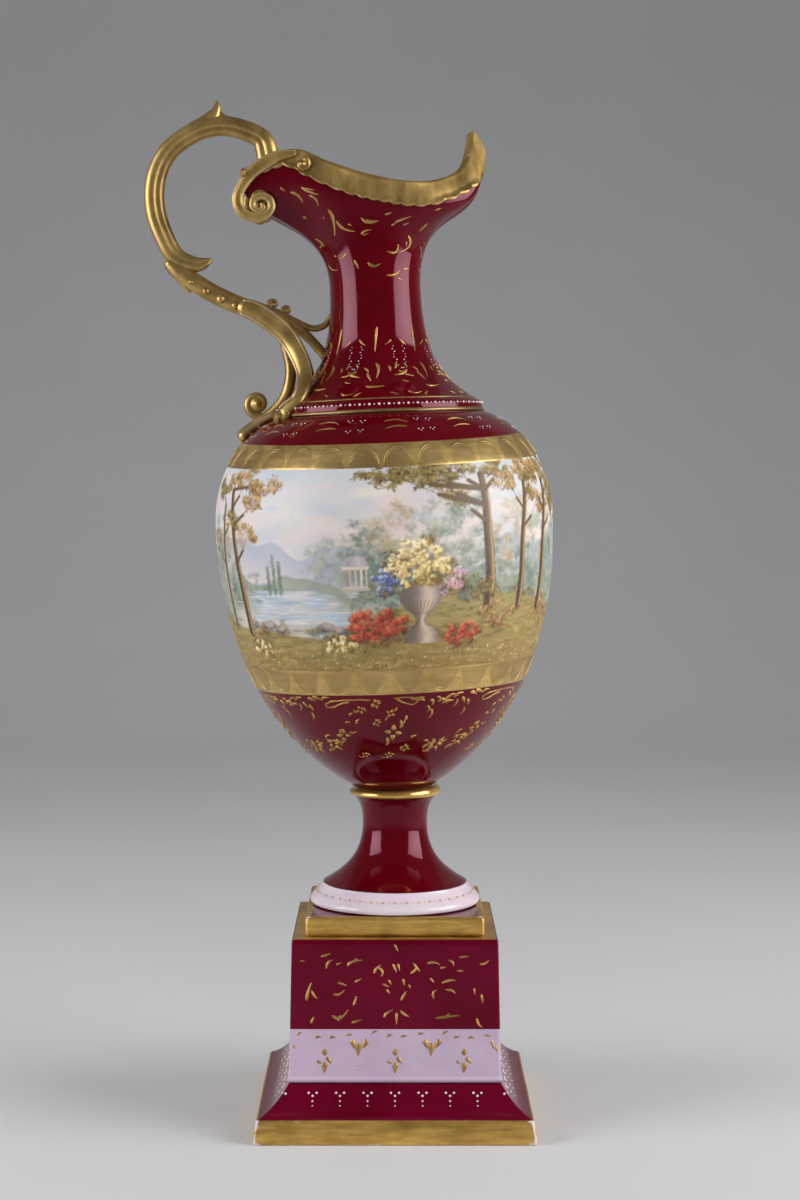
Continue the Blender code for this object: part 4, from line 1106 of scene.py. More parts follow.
def painted_tree(x, foot, tall, sway, boughs, palette, thick):
    """Trunk with shaded side, boughs and leaf masses."""
    path = [(x + sway * (t / 8) ** 2 + 0.5 * math.sin(t), foot + tall * t / 8) for t in range(9)]
    trail(path, thick, thick * 0.55, (104, 76, 46), 0.95, 0.4)
    trail([(px - thick * 0.4, py) for px, py in path], thick * 0.5, thick * 0.25, (58, 42, 28), 0.8, 0.6)
    trail([(px + thick * 0.4, py) for px, py in path], thick * 0.3, thick * 0.15, (176, 142, 98), 0.8, 0.7)
    for start, out, up, wide, high in boughs:
        bx, by = path[start]
        middle = (bx + out * 0.55, by + up * 0.4)
        trail([(bx, by), middle, (bx + out, by + up)], thick * 0.36, 0.2, (92, 68, 42), 0.9, 0.5)
        foliage(bx + out, by + up, wide, high, int(34 * wide * high / 6), palette, 1.2, 0.66)


SPREADING = ((5, -13, 14, 9, 6), (6, -24, 15, 11, 6), (7, -13, 11, 12, 6), (7, -30, 9, 12, 5))
SPREADING += ((7, -44, 9, 10, 5), (6, -38, 15, 9, 5), (7, 10, 10, 11, 6))
UPRIGHT = ((5, 11, 10, 8, 5), (6, -8, 14, 9, 6), (7, 9, 10, 11, 6), (8, 4, 5, 12, 6))
NODDING = ((4, 9, 12, 7, 4), (6, 15, 12, 10, 5), (7, 8, 12, 12, 6), (8, 20, 3, 12, 5))
SLENDER = ((4, -8, 10, 7, 5), (6, 8, 8, 8, 5), (8, -4, 8, 10, 6))
painted_tree(45, 27, 56, -2, SPREADING, OLIVE, 3.4)
painted_tree(63, 25, 54, 5, UPRIGHT, RUSSET, 2.4)
painted_tree(80, 22, 56, 6, UPRIGHT, OLIVE, 2.8)
painted_tree(-70, 17, 62, -6, NODDING, RUSSET, 2.6)
painted_tree(-84, 20, 52, 2, SLENDER, OLIVE, 1.8)
painted_tree(-140, 30, 46, 5, UPRIGHT, OLIVE, 2.2)
painted_tree(-168, 22, 54, -4, UPRIGHT, RUSSET, 2.4)
painted_tree(196, 21, 56, 5, UPRIGHT, OLIVE, 2.6)
painted_tree(106, 24, 44, -4, UPRIGHT, OLIVE, 1.7)
for x, y, wide, high, palette in (
    (-66, 16, 9, 5, OLIVE),
    (40, 33, 11, 7, OLIVE),
    (30, 38, 9, 8, TEAL),
    (50, 24, 11, 7, RUSSET),
    (90, 21, 11, 7, RUSSET),
    (-112, 20, 10, 6, OLIVE),
    (-16, 17, 8, 5, OLIVE),
    (2, 33, 9, 7, TEAL),
    (-190, 17, 12, 6, OLIVE),
    (176, 16, 10, 5, OLIVE),
    (110, 17, 9, 5, RUSSET),
):
    foliage(x, y, wide, high, 240, palette, 1.25, 0.66)


def stone_urn(x, foot):
    """Garden urn of grey stone on a low block, lit from the right."""
    lifts = (0, 4.9, 5, 6.5, 7.2, 8.5, 10.5, 12.5, 15, 18, 21, 23, 24.4, 25.2, 26, 26.8)
    halves = (7.4, 7.4, 6.0, 6.0, 4.0, 2.0, 1.6, 3.0, 6.2, 8.2, 8.6, 7.8, 6.9, 7.6, 8.4, 8.2)
    for lift in np.arange(0, 26.8, 0.3):
        half = float(np.interp(lift, lifts, halves))
        for share in np.linspace(-1, 1, int(half * 4) + 3):
            light = math.exp(-(((share - 0.42) / 0.55) ** 2))
            tint = np.array((104, 90, 86)) + light * np.array((106, 96, 86)) + hand.normal(0, 5, 3)
            dab(x + half * share, foot + lift, 0.45, 0.3, 0, tint, 0.85, 0.6)
    for share in np.linspace(-0.9, 0.9, 9):
        flute = [(x + 3.2 * share, foot + 12.6), (x + 8.1 * share, foot + 18.4)]
        trail(flute, 0.22, 0.3, (92, 80, 78), 0.6, 0.6)


def blossoms(x, y, wide, high, count, light, full, dark, size):
    """Bank of full flowers among leaves, laid in loose petal strokes and lit from the upper left."""
    foliage(x, y, 1.2 * wide, 1.2 * high, int(2.4 * wide * high), OLIVE[:4], 1.2, 0.7)
    light, full, dark = (np.array(tone, float) for tone in (light, full, dark))
    for index in range(count):
        angle = 2.4 * index + hand.normal(0, 0.25)
        far = math.sqrt((index + 0.5) / count) * hand.uniform(0.85, 1.1)
        up = far * math.sin(angle)
        bank = 0.14 * (up - 0.6 * far * math.cos(angle)) + hand.normal(0, 0.06)
        px = x + wide * far * math.cos(angle)
        py = y + high * up
        bloom = size * hand.uniform(0.7, 1.25)
        dab(px + 0.2 * bloom, py - 0.3 * bloom, bloom, 0.8 * bloom, 0, dark, 0.55, 0.8)
        for petal in range(13):
            facing = hand.uniform(0, 2 * math.pi)
            out = math.sqrt(hand.uniform(0, 0.8)) * (1 - 0.3 * petal / 13)
            lit = 0.36 + bank + 0.3 * out * math.cos(facing - 2.2) + 0.025 * petal + hand.normal(0, 0.09)
            tone = dark + (full - dark) * np.clip(2.6 * lit, 0, 1)
            tone = tone + (light - full) * np.clip(2.6 * lit - 1, 0, 1)
            spot = (px + out * bloom * math.cos(facing), py + 0.85 * out * bloom * math.sin(facing))
            long = bloom * hand.uniform(0.3, 0.52)
            dab(*spot, long, 0.55 * long, math.degrees(facing) + hand.normal(90, 30), tone, 0.8, 0.6)
    leaves = int(0.9 * wide * high)
    foliage(x + 0.3 * wide, y - 0.8 * high, 0.7 * wide, 0.35 * high, leaves, OLIVE[1:], 1.0, 0.6)


YELLOW = ((252, 240, 200), (228, 200, 128), (150, 112, 54))
RED = ((220, 116, 78), (160, 44, 30), (84, 20, 18))
BLUE = ((190, 202, 230), (82, 102, 160), (40, 48, 92))
PINK = ((240, 220, 222), (206, 152, 168), (140, 88, 106))
stone_urn(14, 12)
blossoms(1, 40, 6, 6.5, 22, *BLUE, 1.9)
blossoms(27, 39, 6, 6.5, 22, *PINK, 1.9)
blossoms(14, 47, 12.5, 9.5, 50, *YELLOW, 2.5)
blossoms(-5, 20, 13, 8, 50, *RED, 2.3)
blossoms(-22, 12, 7, 4, 14, *YELLOW, 1.8)
blossoms(33, 15, 9, 5, 26, *RED, 2.0)
blossoms(-64, 10, 8, 3.6, 16, *YELLOW, 1.5)
blossoms(-126, 11, 10, 5, 24, *RED, 2.0)
blossoms(150, 9, 11, 4, 24, *YELLOW, 1.8)
blossoms(205, 10, 9, 4, 20, *BLUE, 1.8)
BLADES = ((86, 68, 32), (128, 112, 54), (78, 84, 42), (160, 134, 72))
for index in range(1100):
    x = hand.uniform(-END, END)
    y = hand.uniform(0.2, 9)
    dab(x, y, hand.uniform(0.7, 2.0), 0.22, hand.normal(90, 22), BLADES[index % 4], 0.7, 0.6)
DAISIES = ((236, 226, 202), (222, 190, 100), (190, 84, 66), (184, 164, 200), (240, 236, 230))
for index in range(200):
    x = hand.uniform(-END, END)
    dab(x, hand.uniform(1, 9), 0.38, 0.38, 0, DAISIES[index % 5], 0.9, 0.5)
canvas = np.clip(canvas, 0, 1)
linear = np.where(canvas <= 0.04045, canvas / 12.92, ((canvas + 0.055) / 1.055) ** 2.4)

painted, painted_shader = new_material("painted_enamel", Specular_IOR_Level=0.35)
colour_layer = shading(painted, "Attribute", {}, attribute_name="painting").outputs["Color"]
flecks = levels(painted, noise(painted, 900, 3), 0.35, 0.65, 0.0, 0.09)
feed(painted, painted_shader, "Base Color", blend(painted, flecks, colour_layer, (0.42, 0.33, 0.20, 1)))
feed(painted, painted_shader, "Roughness", levels(painted, noise(painted, 260, 3), 0.3, 0.7, 0.40, 0.52))
relief(painted, painted_shader, noise(painted, 700, 3), 0.10, 0.0004)
SHEET_ROWS = 230
SHEET_THICK = 0.75


def painted_sheet(name, first, last, across):
    """Closed thin sheet of the painted band between two angles, its colours taken from the brush marks."""
    turns = np.linspace(first, last, across)
    front = np.linspace(0, 1, SHEET_ROWS)
    shares = np.concatenate([front, np.linspace(1, 0, 7)])
    around = len(shares)
    tops = np.array([PICTURE_TOP + band_dip(turn) for turn in turns])[:, None]
    heights = PICTURE_FOOT + (tops - PICTURE_FOOT) * shares
    radii = np.interp(heights, belly_heights, belly_radii)
    radii[:, SHEET_ROWS:] -= SHEET_THICK
    a = np.radians(turns)[:, None]
    flat = np.stack([radii * np.sin(a), -radii * np.cos(a), heights], axis=-1)
    turn_back = np.array(lean.to_3x3())
    points = (flat.reshape(-1, 3) @ turn_back.T + np.array(lean.translation)) * MM
    low = np.arange((across - 1) * around).reshape(across - 1, around)
    after = np.roll(low, -1, axis=1)
    quads = np.stack([low, low + around, after + around, after], axis=-1).reshape(-1, 4)
    faces = quads.tolist()
    faces.append(list(range(around)))
    faces.append(list(reversed(range((across - 1) * around, across * around))))
    mesh = bpy.data.meshes.new(name)
    mesh.from_pydata(points, [], faces)
    plain = PICTURE_FOOT + (PICTURE_TOP - PICTURE_FOOT) * front
    steps = np.hypot(np.diff(np.interp(plain, belly_heights, belly_radii)), np.diff(plain))
    along = np.concatenate([[0.0], np.cumsum(steps)])
    climb = np.interp(shares, front, along / along[-1] * (HIGH - 1))
    px = np.repeat((turns / 360 + 0.5) * WIDE, around)
    py = np.tile(climb, across)
    x0 = np.floor(px).astype(int)
    y0 = np.minimum(np.floor(py).astype(int), HIGH - 2)
    fx = (px - x0)[:, None]
    fy = (py - y0)[:, None]
    left = linear[y0, x0 % WIDE] * (1 - fy) + linear[y0 + 1, x0 % WIDE] * fy
    right = linear[y0, (x0 + 1) % WIDE] * (1 - fy) + linear[y0 + 1, (x0 + 1) % WIDE] * fy
    colours = np.ones((len(px), 4))
    colours[:, :3] = left * (1 - fx) + right * fx
    layer = mesh.attributes.new("painting", "FLOAT_COLOR", "POINT")
    layer.data.foreach_set("color", colours.ravel())
    mesh.materials.append(painted)
    sheet = closed_piece(name, mesh)
    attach(sheet, "ewer")


painted_sheet("painted_left", -98, -33, 270)
painted_sheet("painted_middle", -33, 33, 280)
painted_sheet("painted_right", 33, 98, 270)
painted_sheet("painted_back", 98, 262, 300)

# Gold on the lower belly: bows under the gilt band and festoons of small blossoms between them, brushed
# on in raised paste. The drawing is laid out flat, as it stands at the front, and goes five times round.


def flat_sheet(radius_at, turn):
    """Gives places on a turned surface from millimetres across and a height, as seen at that turn."""

    def spot(across, height):
        radius = radius_at(height)
        aside = math.degrees(math.asin(max(min(across / radius, 0.99), -0.99)))
        a = math.radians(aside + turn)
        return lean @ Vector((radius * math.sin(a), -radius * math.cos(a), height))

    return spot


LEFT_BOW = [(-6.6, 41.6), (-11, 41.9), (-17, 41.7), (-22.5, 41.2), (-25.0, 40.0), (-24.2, 38.6)]
LEFT_BOW += [(-21.5, 38.8), (-18.6, 40.2), (-15.4, 40.9)]
RIGHT_BOW = [(2.8, 42.0), (6.5, 42.3), (10.0, 42.0), (12.2, 40.4), (9.9, 39.0), (6.0, 40.2), (3.8, 41.6)]
TWIGS = [
    ((-48.5, 41.2), (-46.0, 41.8), 0.8),
    ((-47.2, 41.0), (-45.2, 40.4), 0.7),
    ((-44.2, 40.8), (-42.4, 38.4), 0.8),
    ((-43.0, 41.8), (-41.2, 40.2), 0.6),
    ((-41.8, 40.9), (-38.6, 38.6), 0.7),
    ((-40.2, 39.0), (-36.8, 39.6), 0.7),
    ((-43.6, 38.2), (-42.0, 35.6), 0.5),
    ((-42.0, 36.8), (-40.2, 33.0), 0.5),
    ((20.0, 39.6), (23.2, 40.4), 0.5),
    ((23.0, 40.2), (27.0, 42.4), 0.8),
    ((26.4, 41.0), (30.4, 42.6), 0.8),
    ((27.8, 40.2), (25.8, 37.0), 0.6),
    ((29.6, 40.6), (30.4, 38.2), 0.9),
    ((31.8, 39.6), (31.6, 37.2), 0.9),
    ((30.4, 36.4), (28.6, 33.4), 0.6),
    ((33.0, 42.4), (35.6, 41.2), 0.9),
    ((35.2, 43.0), (38.2, 41.6), 0.9),
    ((38.0, 42.0), (41.0, 42.8), 0.6),
]
POSIES = [(-4.6, 40.0, 2.1), (-11.0, 37.6, 1.9), (1.0, 35.8, 1.9), (-4.6, 32.0, 1.8), (-18.4, 26.6, 2.9)]
POSIES += [(1.6, 27.6, 3.4), (-30.0, 21.6, 2.7), (5.8, 20.6, 1.9), (17.8, 21.2, 2.8), (27.0, 22.4, 2.5)]
POSIES += [(-10.4, 17.8, 1.5), (-1.0, 17.6, 1.6)]
CRUMBS = [(-15.6, 35.0, 30), (-17.4, 32.0, 0), (-12.8, 31.6, 60), (7.0, 34.6, 250), (6.6, 32.4, 190)]
CRUMBS += [(8.6, 24.8, 20), (13.4, 23.2, 340), (-26.0, 25.2, 40), (-25.4, 23.4, 10), (-19.6, 21.8, 60)]
CRUMBS += [(-22.6, 20.4, 30), (32.4, 25.6, 35), (34.2, 27.6, 40), (-24.4, 18.8, 70)]
GARLANDS = 5
GARLAND_TURN = -1.5
garland = Drawing(None)
for motif in range(GARLANDS):
    garland.spot = flat_sheet(belly_radius, 360 / GARLANDS * motif + GARLAND_TURN)
    for bow in (LEFT_BOW, RIGHT_BOW):
        garland.line(bow, 0.42)
    for start, end, width in TWIGS:
        bend = Vector((start[1] - end[1], end[0] - start[0])) * 0.14
        garland.stroke([start, (Vector(start) + Vector(end)) / 2 + bend, end], width)
    for across, height, size in POSIES:
        garland.flower(across, height, size * 0.92, 40 * across)
    for across, height, facing in CRUMBS:
        garland.leaf(across, height, facing, 2.2, 0.6, 0.25)
garland.make("garland_strokes", belly, "ewer")

# Shoulder: pairs of gold comma leaves in raised paste and threes of white enamel dots, set by hand on the
# claret glaze between the upper gilt band and the neck.
LEAF_PAIRS = 12
LEAF_TURN = 7
shoulder_leaves = Drawing(None)
shoulder_points = []
shoulder_widths = []
for motif in range(LEAF_PAIRS):
    shoulder_leaves.spot = flat_sheet(belly_radius, 360 / LEAF_PAIRS * motif + LEAF_TURN)
    shoulder_leaves.stroke([(-4.6, 151.9), (0.6, 152.5), (4.4, 151.2)], 0.55)
    shoulder_leaves.stroke([(4.0, 149.6), (-0.6, 149.9), (-4.6, 148.9)], 0.55)
    for across, height in ((8.4, 152.4), (13.4, 152.2), (9.6, 148.2), (14.4, 148.4)):
        for aside, lift, width in ((-0.9, 0.25, 0.26), (0.8, 0.35, 0.26), (0.1, -0.4, 0.22)):
            shoulder_points.append(shoulder_leaves.spot(across + aside, height + lift))
            shoulder_widths.append(width)
shoulder_leaves.make("shoulder_leaves", belly, "ewer")
enamel_dots("shoulder_dots", shoulder_points, shoulder_widths, "ewer")

# Neck: waisted tube thrown with the moulding at its foot, claret, with two brown-gold lines, a row of
# enamel beads between them, fans of gold leaves above and chains of small dots.
NECK_SEAT = 156.0
MOULDING_TOP = 160.4
NECK_TOP = 209.2
NECK_END = NECK_TOP + 0.2
NECK_RADIUS = 19.1
NECK_BORE = 16.1
neck_curve = bezier((41.8, MOULDING_TOP), (27.98, 168.74), (NECK_RADIUS, 178.02), (NECK_RADIUS, NECK_TOP), 44)
neck_side = [(43.6, NECK_SEAT), (43.2, 156.4), (43.1, 157.3), (43.1, 159.0), (42.6, 160.0), *neck_curve]


def neck_radius(height):
    """Radius of the neck at a height on its axis."""
    return float(np.interp(height, [z for r, z in neck_side], [r for r, z in neck_side]))


line_gold = gilding("line_gold", (0.40, 0.26, 0.10, 1), (0.22, 0.14, 0.06, 1), (1, 1, 4), 0.32)
neck_inside = [(NECK_RADIUS, NECK_END), (NECK_BORE, NECK_END), (NECK_BORE, 180.0)]
neck_inside += [(20.0, 172.0), (28.0, 165.0), (34.7, 160.0)]
neck_line = [(34.7, 153.0), (37.7, 153.0), (37.7, NECK_SEAT), *neck_side, *neck_inside]
neck_bands = [porcelain, porcelain, claret] + [claret] * len(neck_side) + [porcelain] * len(neck_inside)
neck = turned("neck_tube", neck_line, [claret, porcelain], neck_bands, 128, lean)
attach(neck, "ewer")
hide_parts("neck")
neck_spot = body_spot(neck_radius)
rings = Drawing(neck_spot)
for height, width in ((156.6, 0.75), (161.6, 0.55)):
    rings.line([(3 * step, height) for step in range(121)], width)
rings.make("neck_lines", neck, "ewer", 0.4, line_gold)
NECK_BEADS = 136
neck_points = []
neck_widths = []
for step in range(NECK_BEADS):
    neck_points.append(neck_spot(360 * step / NECK_BEADS, 159.2))
    neck_widths.append(0.30 if step % 2 else 0.52)
FAN = [
    ((0.2, 191.5), (-0.4, 187.0), (-1.0, 181.2), 0.55),
    ((-7.2, 186.6), (-6.4, 185.4), (-4.8, 183.8), 0.5),
    ((-6.8, 185.8), (-6.2, 184.8), (-5.6, 184.0), 0.35),
    ((5.6, 186.2), (5.2, 185.4), (3.2, 184.0), 0.45),
    ((-12.2, 173.2), (-10.4, 171.6), (-7.6, 170.6), 0.75),
    ((-11.6, 171.8), (-10.4, 171.2), (-9.0, 171.0), 0.4),
    ((-8.8, 176.2), (-8.2, 175.2), (-8.4, 174.2), 0.45),
    ((-5.6, 174.6), (-4.2, 173.4), (-4.4, 172.4), 0.5),
    ((-4.6, 172.6), (-3.8, 170.6), (-3.0, 168.8), 0.6),
    ((-0.8, 176.4), (0.2, 174.0), (-0.8, 170.0), 0.7),
    ((4.4, 175.2), (5.0, 174.0), (4.8, 172.8), 0.55),
    ((7.2, 176.4), (7.4, 175.0), (6.8, 174.0), 0.5),
    ((11.8, 173.4), (9.6, 171.8), (6.6, 171.2), 0.85),
    ((-5.2, 166.8), (-1.8, 166.4), (2.2, 166.8), 0.75),
    ((9.6, 169.0), (11.0, 168.6), (12.4, 168.4), 0.5),
    ((-10.4, 162.6), (-9.0, 163.4), (-7.4, 164.2), 0.5),
    ((4.8, 164.0), (6.2, 163.6), (7.6, 163.0), 0.45),
    ((12.0, 164.6), (14.4, 163.4), (17.4, 164.0), 0.6),
]
FANS = 8
fan = Drawing(None)
for motif in range(FANS):
    fan.spot = flat_sheet(neck_radius, 360 / FANS * motif)
    for start, middle, end, width in FAN:
        fan.stroke([start, middle, end], width)
    for side in (-1, 1):
        for step in range(9):
            across = side * (11.3 - 0.035 * (step - 5) ** 2 + 0.45 * math.sin(2.2 * step))
            neck_points.append(fan.spot(across, 183.4 - 1.15 * step))
            neck_widths.append(0.19 + 0.04 * (step % 3))
fan.make("neck_leaves", neck, "ewer")
enamel_dots("neck_dots", neck_points, neck_widths, "ewer")

# Mouth: boat-shaped flare pressed in a mould and luted to the neck, claret outside and white within; a broad
# gilt border with a scalloped lower edge runs along the rim to the tip of the spout.


def spline(points, steps):
    """Smooth curve through points, each a row of the same length."""
    padded = [points[0], *points, points[-1]]
    curve = []
    for a, b, c, d in zip(padded, padded[1:], padded[2:], padded[3:]):
        for step in range(steps):
            t = step / steps
            weights = (-t + 2 * t**2 - t**3, 2 - 5 * t**2 + 3 * t**3, t + 4 * t**2 - 3 * t**3, t**3 - t**2)
            curve.append(tuple(sum(w * v for w, v in zip(weights, row)) / 2 for row in zip(a, b, c, d)))
    curve.append(tuple(points[-1]))
    return curve


MOUTH_SEAT = 209.5
RIM = [
    (43.5, 0.0, 63.4),
    (39.6, 8.1, 49.4),
    (30.9, 15.4, 42.8),
    (17.8, 21.6, 40.8),
    (0.0, 24.5, 43.5),
    (-18.0, 20.6, 50.8),
    (-30.0, 17.3, 56.6),
    (-42.0, 15.5, 54.5),
    (-50.0, 14.5, 50.6),
    (-49.9, 8.7, 50.0),
    (-44.5, 0.0, 50.0),
]
half_rim = spline(RIM, 26)
rim = [(x, -y, rise) for x, y, rise in half_rim] + [(x, y, rise) for x, y, rise in half_rim[-2:0:-1]]
WALL_STEPS = 40
MOUTH_THICK = 3.0


def mouth_wall(x, y, rise, steps=WALL_STEPS):
    """Outer wall of the mouth below one point of the rim, as radius and height, and its angle."""
    angle = math.atan2(y, x)
    reach = math.hypot(x, y)
    front = max(math.cos(angle), 0.0) ** 3
    back = min(math.cos(angle), 0.0) ** 2
    side = 1 - front - back
    lift = front * 38.04 + side * 21.75 + back * 34.0
    swell = front * 19.14 - side * 2.94 + back * 14.24
    drop = front * 24.09 + side * 12.18 + back * 23.0
    wall = bezier(
        (NECK_RADIUS, MOUTH_SEAT - 0.1),
        (NECK_RADIUS, MOUTH_SEAT + lift),
        (reach + swell, MOUTH_SEAT + rise - drop),
        (reach, MOUTH_SEAT + rise),
        steps,
    )
    return np.array(wall), angle


def moved_out(wall, distance):
    """A wall moved along its own normals."""
    run = np.gradient(wall, axis=0)
    run = run / np.linalg.norm(run, axis=1)[:, None]
    return wall + distance * np.stack([run[:, 1], -run[:, 0]], axis=1)


def upright(section, angle):
    """Section in radius and height, stood at an angle and leaned."""
    return [lean @ Vector((r * math.cos(angle), r * math.sin(angle), z)) for r, z in section]


mouth_columns = []
for x, y, rise in rim:
    wall, angle = mouth_wall(x, y, rise)
    inside = moved_out(wall, -MOUTH_THICK)[::-2]
    mouth_columns.append(upright(np.concatenate([wall, inside]), angle))
mouth_loops = [list(loop) for loop in zip(*mouth_columns)]
mouth_bands = [claret] * WALL_STEPS + [porcelain] * (len(mouth_loops) - WALL_STEPS)
mouth = skin("mouth_flare", mouth_loops, [claret, porcelain], mouth_bands, hollow=True)
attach(mouth, "ewer")
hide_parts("mouth")

lip_gold = gilding("lip_gold", (0.56, 0.37, 0.125, 1), (0.33, 0.205, 0.06, 1), (3, 3, 1), 0.31)


def below_rim(wall):
    """Gives points a distance below the rim, moved outward, on a wall or on the face behind it."""
    steps = np.linalg.norm(np.diff(wall[::-1], axis=0), axis=1)
    below = np.concatenate([[0], np.cumsum(steps)])
    normals = moved_out(wall, 1.0) - wall

    def on_wall(distance, out, face=wall):
        r, z = [np.interp(distance, below, values) for values in face[::-1].T]
        nr, nz = [np.interp(distance, below, values) for values in normals[::-1].T]
        return np.array((r + out * nr, z + out * nz))

    return on_wall


EDGE_WEAR = [0.1, 0.24, 0.34, 0.3, 0.2, 0.2, 0.1, 0.0, 0.0, 0.0]
border_columns = []
border_wear = []
border_run = 0.0
last = rim[0]
for x, y, rise in rim:
    border_run += math.dist((x, y, rise), last)
    last = (x, y, rise)
    wall, angle = mouth_wall(x, y, rise, 120)
    back_share = min(max((-x - 26) / 8, 0), 1)
    beat = abs(math.sin(border_run / 1.75 + 0.8 * math.sin(border_run / 9)))
    tip_share = math.exp(-((y / 7.5) ** 4)) if x > 0 else 0.0
    beat = beat * (1 - tip_share)
    depth = (9.3 - 2.9 * back_share) + 0.75 * beat + 0.35 * math.sin(border_run / 5.3) + 3.4 * tip_share
    inner = moved_out(wall, -MOUTH_THICK)
    on_wall = below_rim(wall)
    up = (wall[-1] - wall[-3]) / np.linalg.norm(wall[-1] - wall[-3])
    roll_out = (1.0 + 0.45 * beat) * (1 - 0.65 * tip_share)
    section = [on_wall(depth, -0.5), on_wall(depth, 0.35), on_wall(depth - 0.3, 0.8 * roll_out)]
    section += [on_wall(depth - 0.9, roll_out), on_wall(depth - 1.5, 0.85 * roll_out)]
    section.append(on_wall(depth - 2.0, 0.62))
    section += [on_wall(depth * share, 0.55) for share in (0.66, 0.54, 0.42, 0.3, 0.2)]
    section += [on_wall(1.0, 0.66), on_wall(0.4, 0.7), on_wall(0.05, 0.5)]
    section += [on_wall(0.0, -0.3) + 0.5 * up, on_wall(0.0, -1.5) + 0.7 * up]
    section += [on_wall(0.0, 0.3, inner) + 0.45 * up, on_wall(0.3, -0.35, inner), on_wall(3.0, -0.4, inner)]
    section += [on_wall(6.5, -0.35, inner), on_wall(7.0, 0.4, inner)]
    border_columns.append(upright(section, angle))
    crest = 0.18 + 0.27 * beat
    border_wear.append([0.0, 0.1, crest, crest, 0.2, 0.0] + [0.0] * 5 + EDGE_WEAR)
border_loops = [list(loop) for loop in zip(*border_columns)]
border_wear = [list(row) for row in zip(*border_wear)]
border = skin("rim_border", border_loops, [lip_gold], hollow=True, wear=border_wear)
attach(border, "ewer")

COMMAS = [
    ((-37.5, 250.8), (-35.6, 249.2), 0.5),
    ((-33.2, 248.6), (-30.4, 247.4), (-28.4, 244.4), 0.8),
    ((-28.6, 250.4), (-25.2, 248.2), (-21.6, 246.8), 0.8),
    ((-25.6, 246.8), (-23.0, 245.2), (-22.0, 242.2), 0.6),
    ((-27.6, 249.9), (-23.4, 248.8), 0.4),
    ((-28.6, 238.8), (-27.2, 238.0), 0.7),
    ((-20.2, 238.0), (-19.8, 237.2), 0.5),
    ((-18.0, 240.8), (-16.0, 236.4), (-15.7, 230.0), 0.75),
    ((-14.6, 236.0), (-12.0, 232.6), (-7.4, 231.2), 0.7),
    ((-10.0, 234.4), (-8.6, 233.6), 0.4),
    ((-4.4, 236.6), (-1.8, 234.4), (2.6, 235.0), 0.6),
    ((-2.6, 235.8), (-0.4, 235.0), (2.4, 235.2), 0.4),
    ((-4.7, 229.8), (-3.0, 231.2), (-0.4, 231.4), 0.5),
    ((-4.0, 229.4), (-1.8, 230.2), 0.3),
    ((5.4, 237.4), (8.2, 238.2), 0.5),
    ((9.4, 234.2), (12.2, 235.2), (16.0, 236.4), 0.6),
    ((7.8, 233.0), (9.8, 233.9), 0.4),
    ((12.6, 233.0), (15.0, 233.8), 0.4),
    ((14.6, 228.8), (15.0, 224.8), (10.6, 222.0), 0.65),
    ((13.8, 226.4), (13.6, 224.4), 0.35),
    ((5.6, 222.6), (9.0, 222.0), (10.4, 225.2), 0.7),
    ((22.6, 233.6), (20.8, 232.0), (19.4, 230.6), 0.8),
    ((19.4, 224.8), (20.0, 222.6), (19.4, 220.4), 0.55),
    ((21.6, 227.0), (20.8, 224.4), 0.4),
    ((-22.0, 228.4), (-21.2, 227.0), (-22.4, 226.2), 0.6),
    ((-27.0, 226.8), (-24.8, 225.8), (-23.1, 224.4), 0.5),
    ((-11.2, 222.8), (-12.4, 221.2), (-14.9, 220.4), 0.6),
    ((-16.4, 222.2), (-15.4, 221.6), 0.4),
    ((-8.0, 219.6), (-7.2, 217.6), (-6.4, 215.8), 0.6),
    ((-2.4, 218.2), (-0.2, 216.6), (2.6, 217.6), 0.8),
    ((-18.8, 218.8), (-17.6, 216.8), (-15.2, 216.2), 0.5),
    ((4.8, 212.8), (8.4, 213.0), (10.6, 214.8), 0.6),
    ((12.0, 215.2), (14.4, 215.6), 0.6),
    ((9.2, 211.8), (11.1, 210.8), 0.5),
    ((18.6, 216.0), (19.2, 214.2), 0.5),
    ((27.0, 243.0), (30.0, 244.4), (32.6, 246.0), 0.6),
    ((26.0, 238.6), (28.6, 239.4), 0.5),
    ((34.6, 250.0), (36.0, 252.2), 0.5),
]


def front_spot(side):
    """Gives the place on mouth or neck seen at a distance across and a height, from front or back."""

    def spot(across, height):
        level = lean @ Vector((across, 0, height))
        here = Vector((level.x * MM, side * 0.2, level.z * MM))
        for piece in (mouth, neck):
            found, where, normal, face = piece.ray_cast(here, Vector((0, -side, 0)))
            if found:
                return where / MM
        return lean @ Vector((across, side * 20.0, height))

    return spot


scatter = Drawing(None)
for side in (-1, 1):
    scatter.spot = front_spot(side)
    for *corners, width in COMMAS:
        scatter.stroke(corners, width)
scatter.make("mouth_leaves", mouth, "ewer", 0.5)

# Scroll borders beside the handle: moulded gilt rolls that run from the crest of the rim round the back lobes
# into volutes, and small curls where the broad border ends.
tube_sockets = [("Sides", "Int"), ("Across", "Float"), ("Through", "Float"), ("Material", "Material")]
tube_tree, given, result = new_tree("rolled_tube", tube_sockets)
oval = add_node(tube_tree, "ShaderNodeCombineXYZ", {"X": given["Across"], "Y": given["Through"], "Z": 1.0})
oval_inputs = {"Geometry": circle(tube_tree, given), "Scale": oval.outputs[0]}
roll_profile = add_node(tube_tree, "GeometryNodeTransform", oval_inputs).outputs[0]
finish_tree(tube_tree, swept(tube_tree, given, roll_profile), given, result)


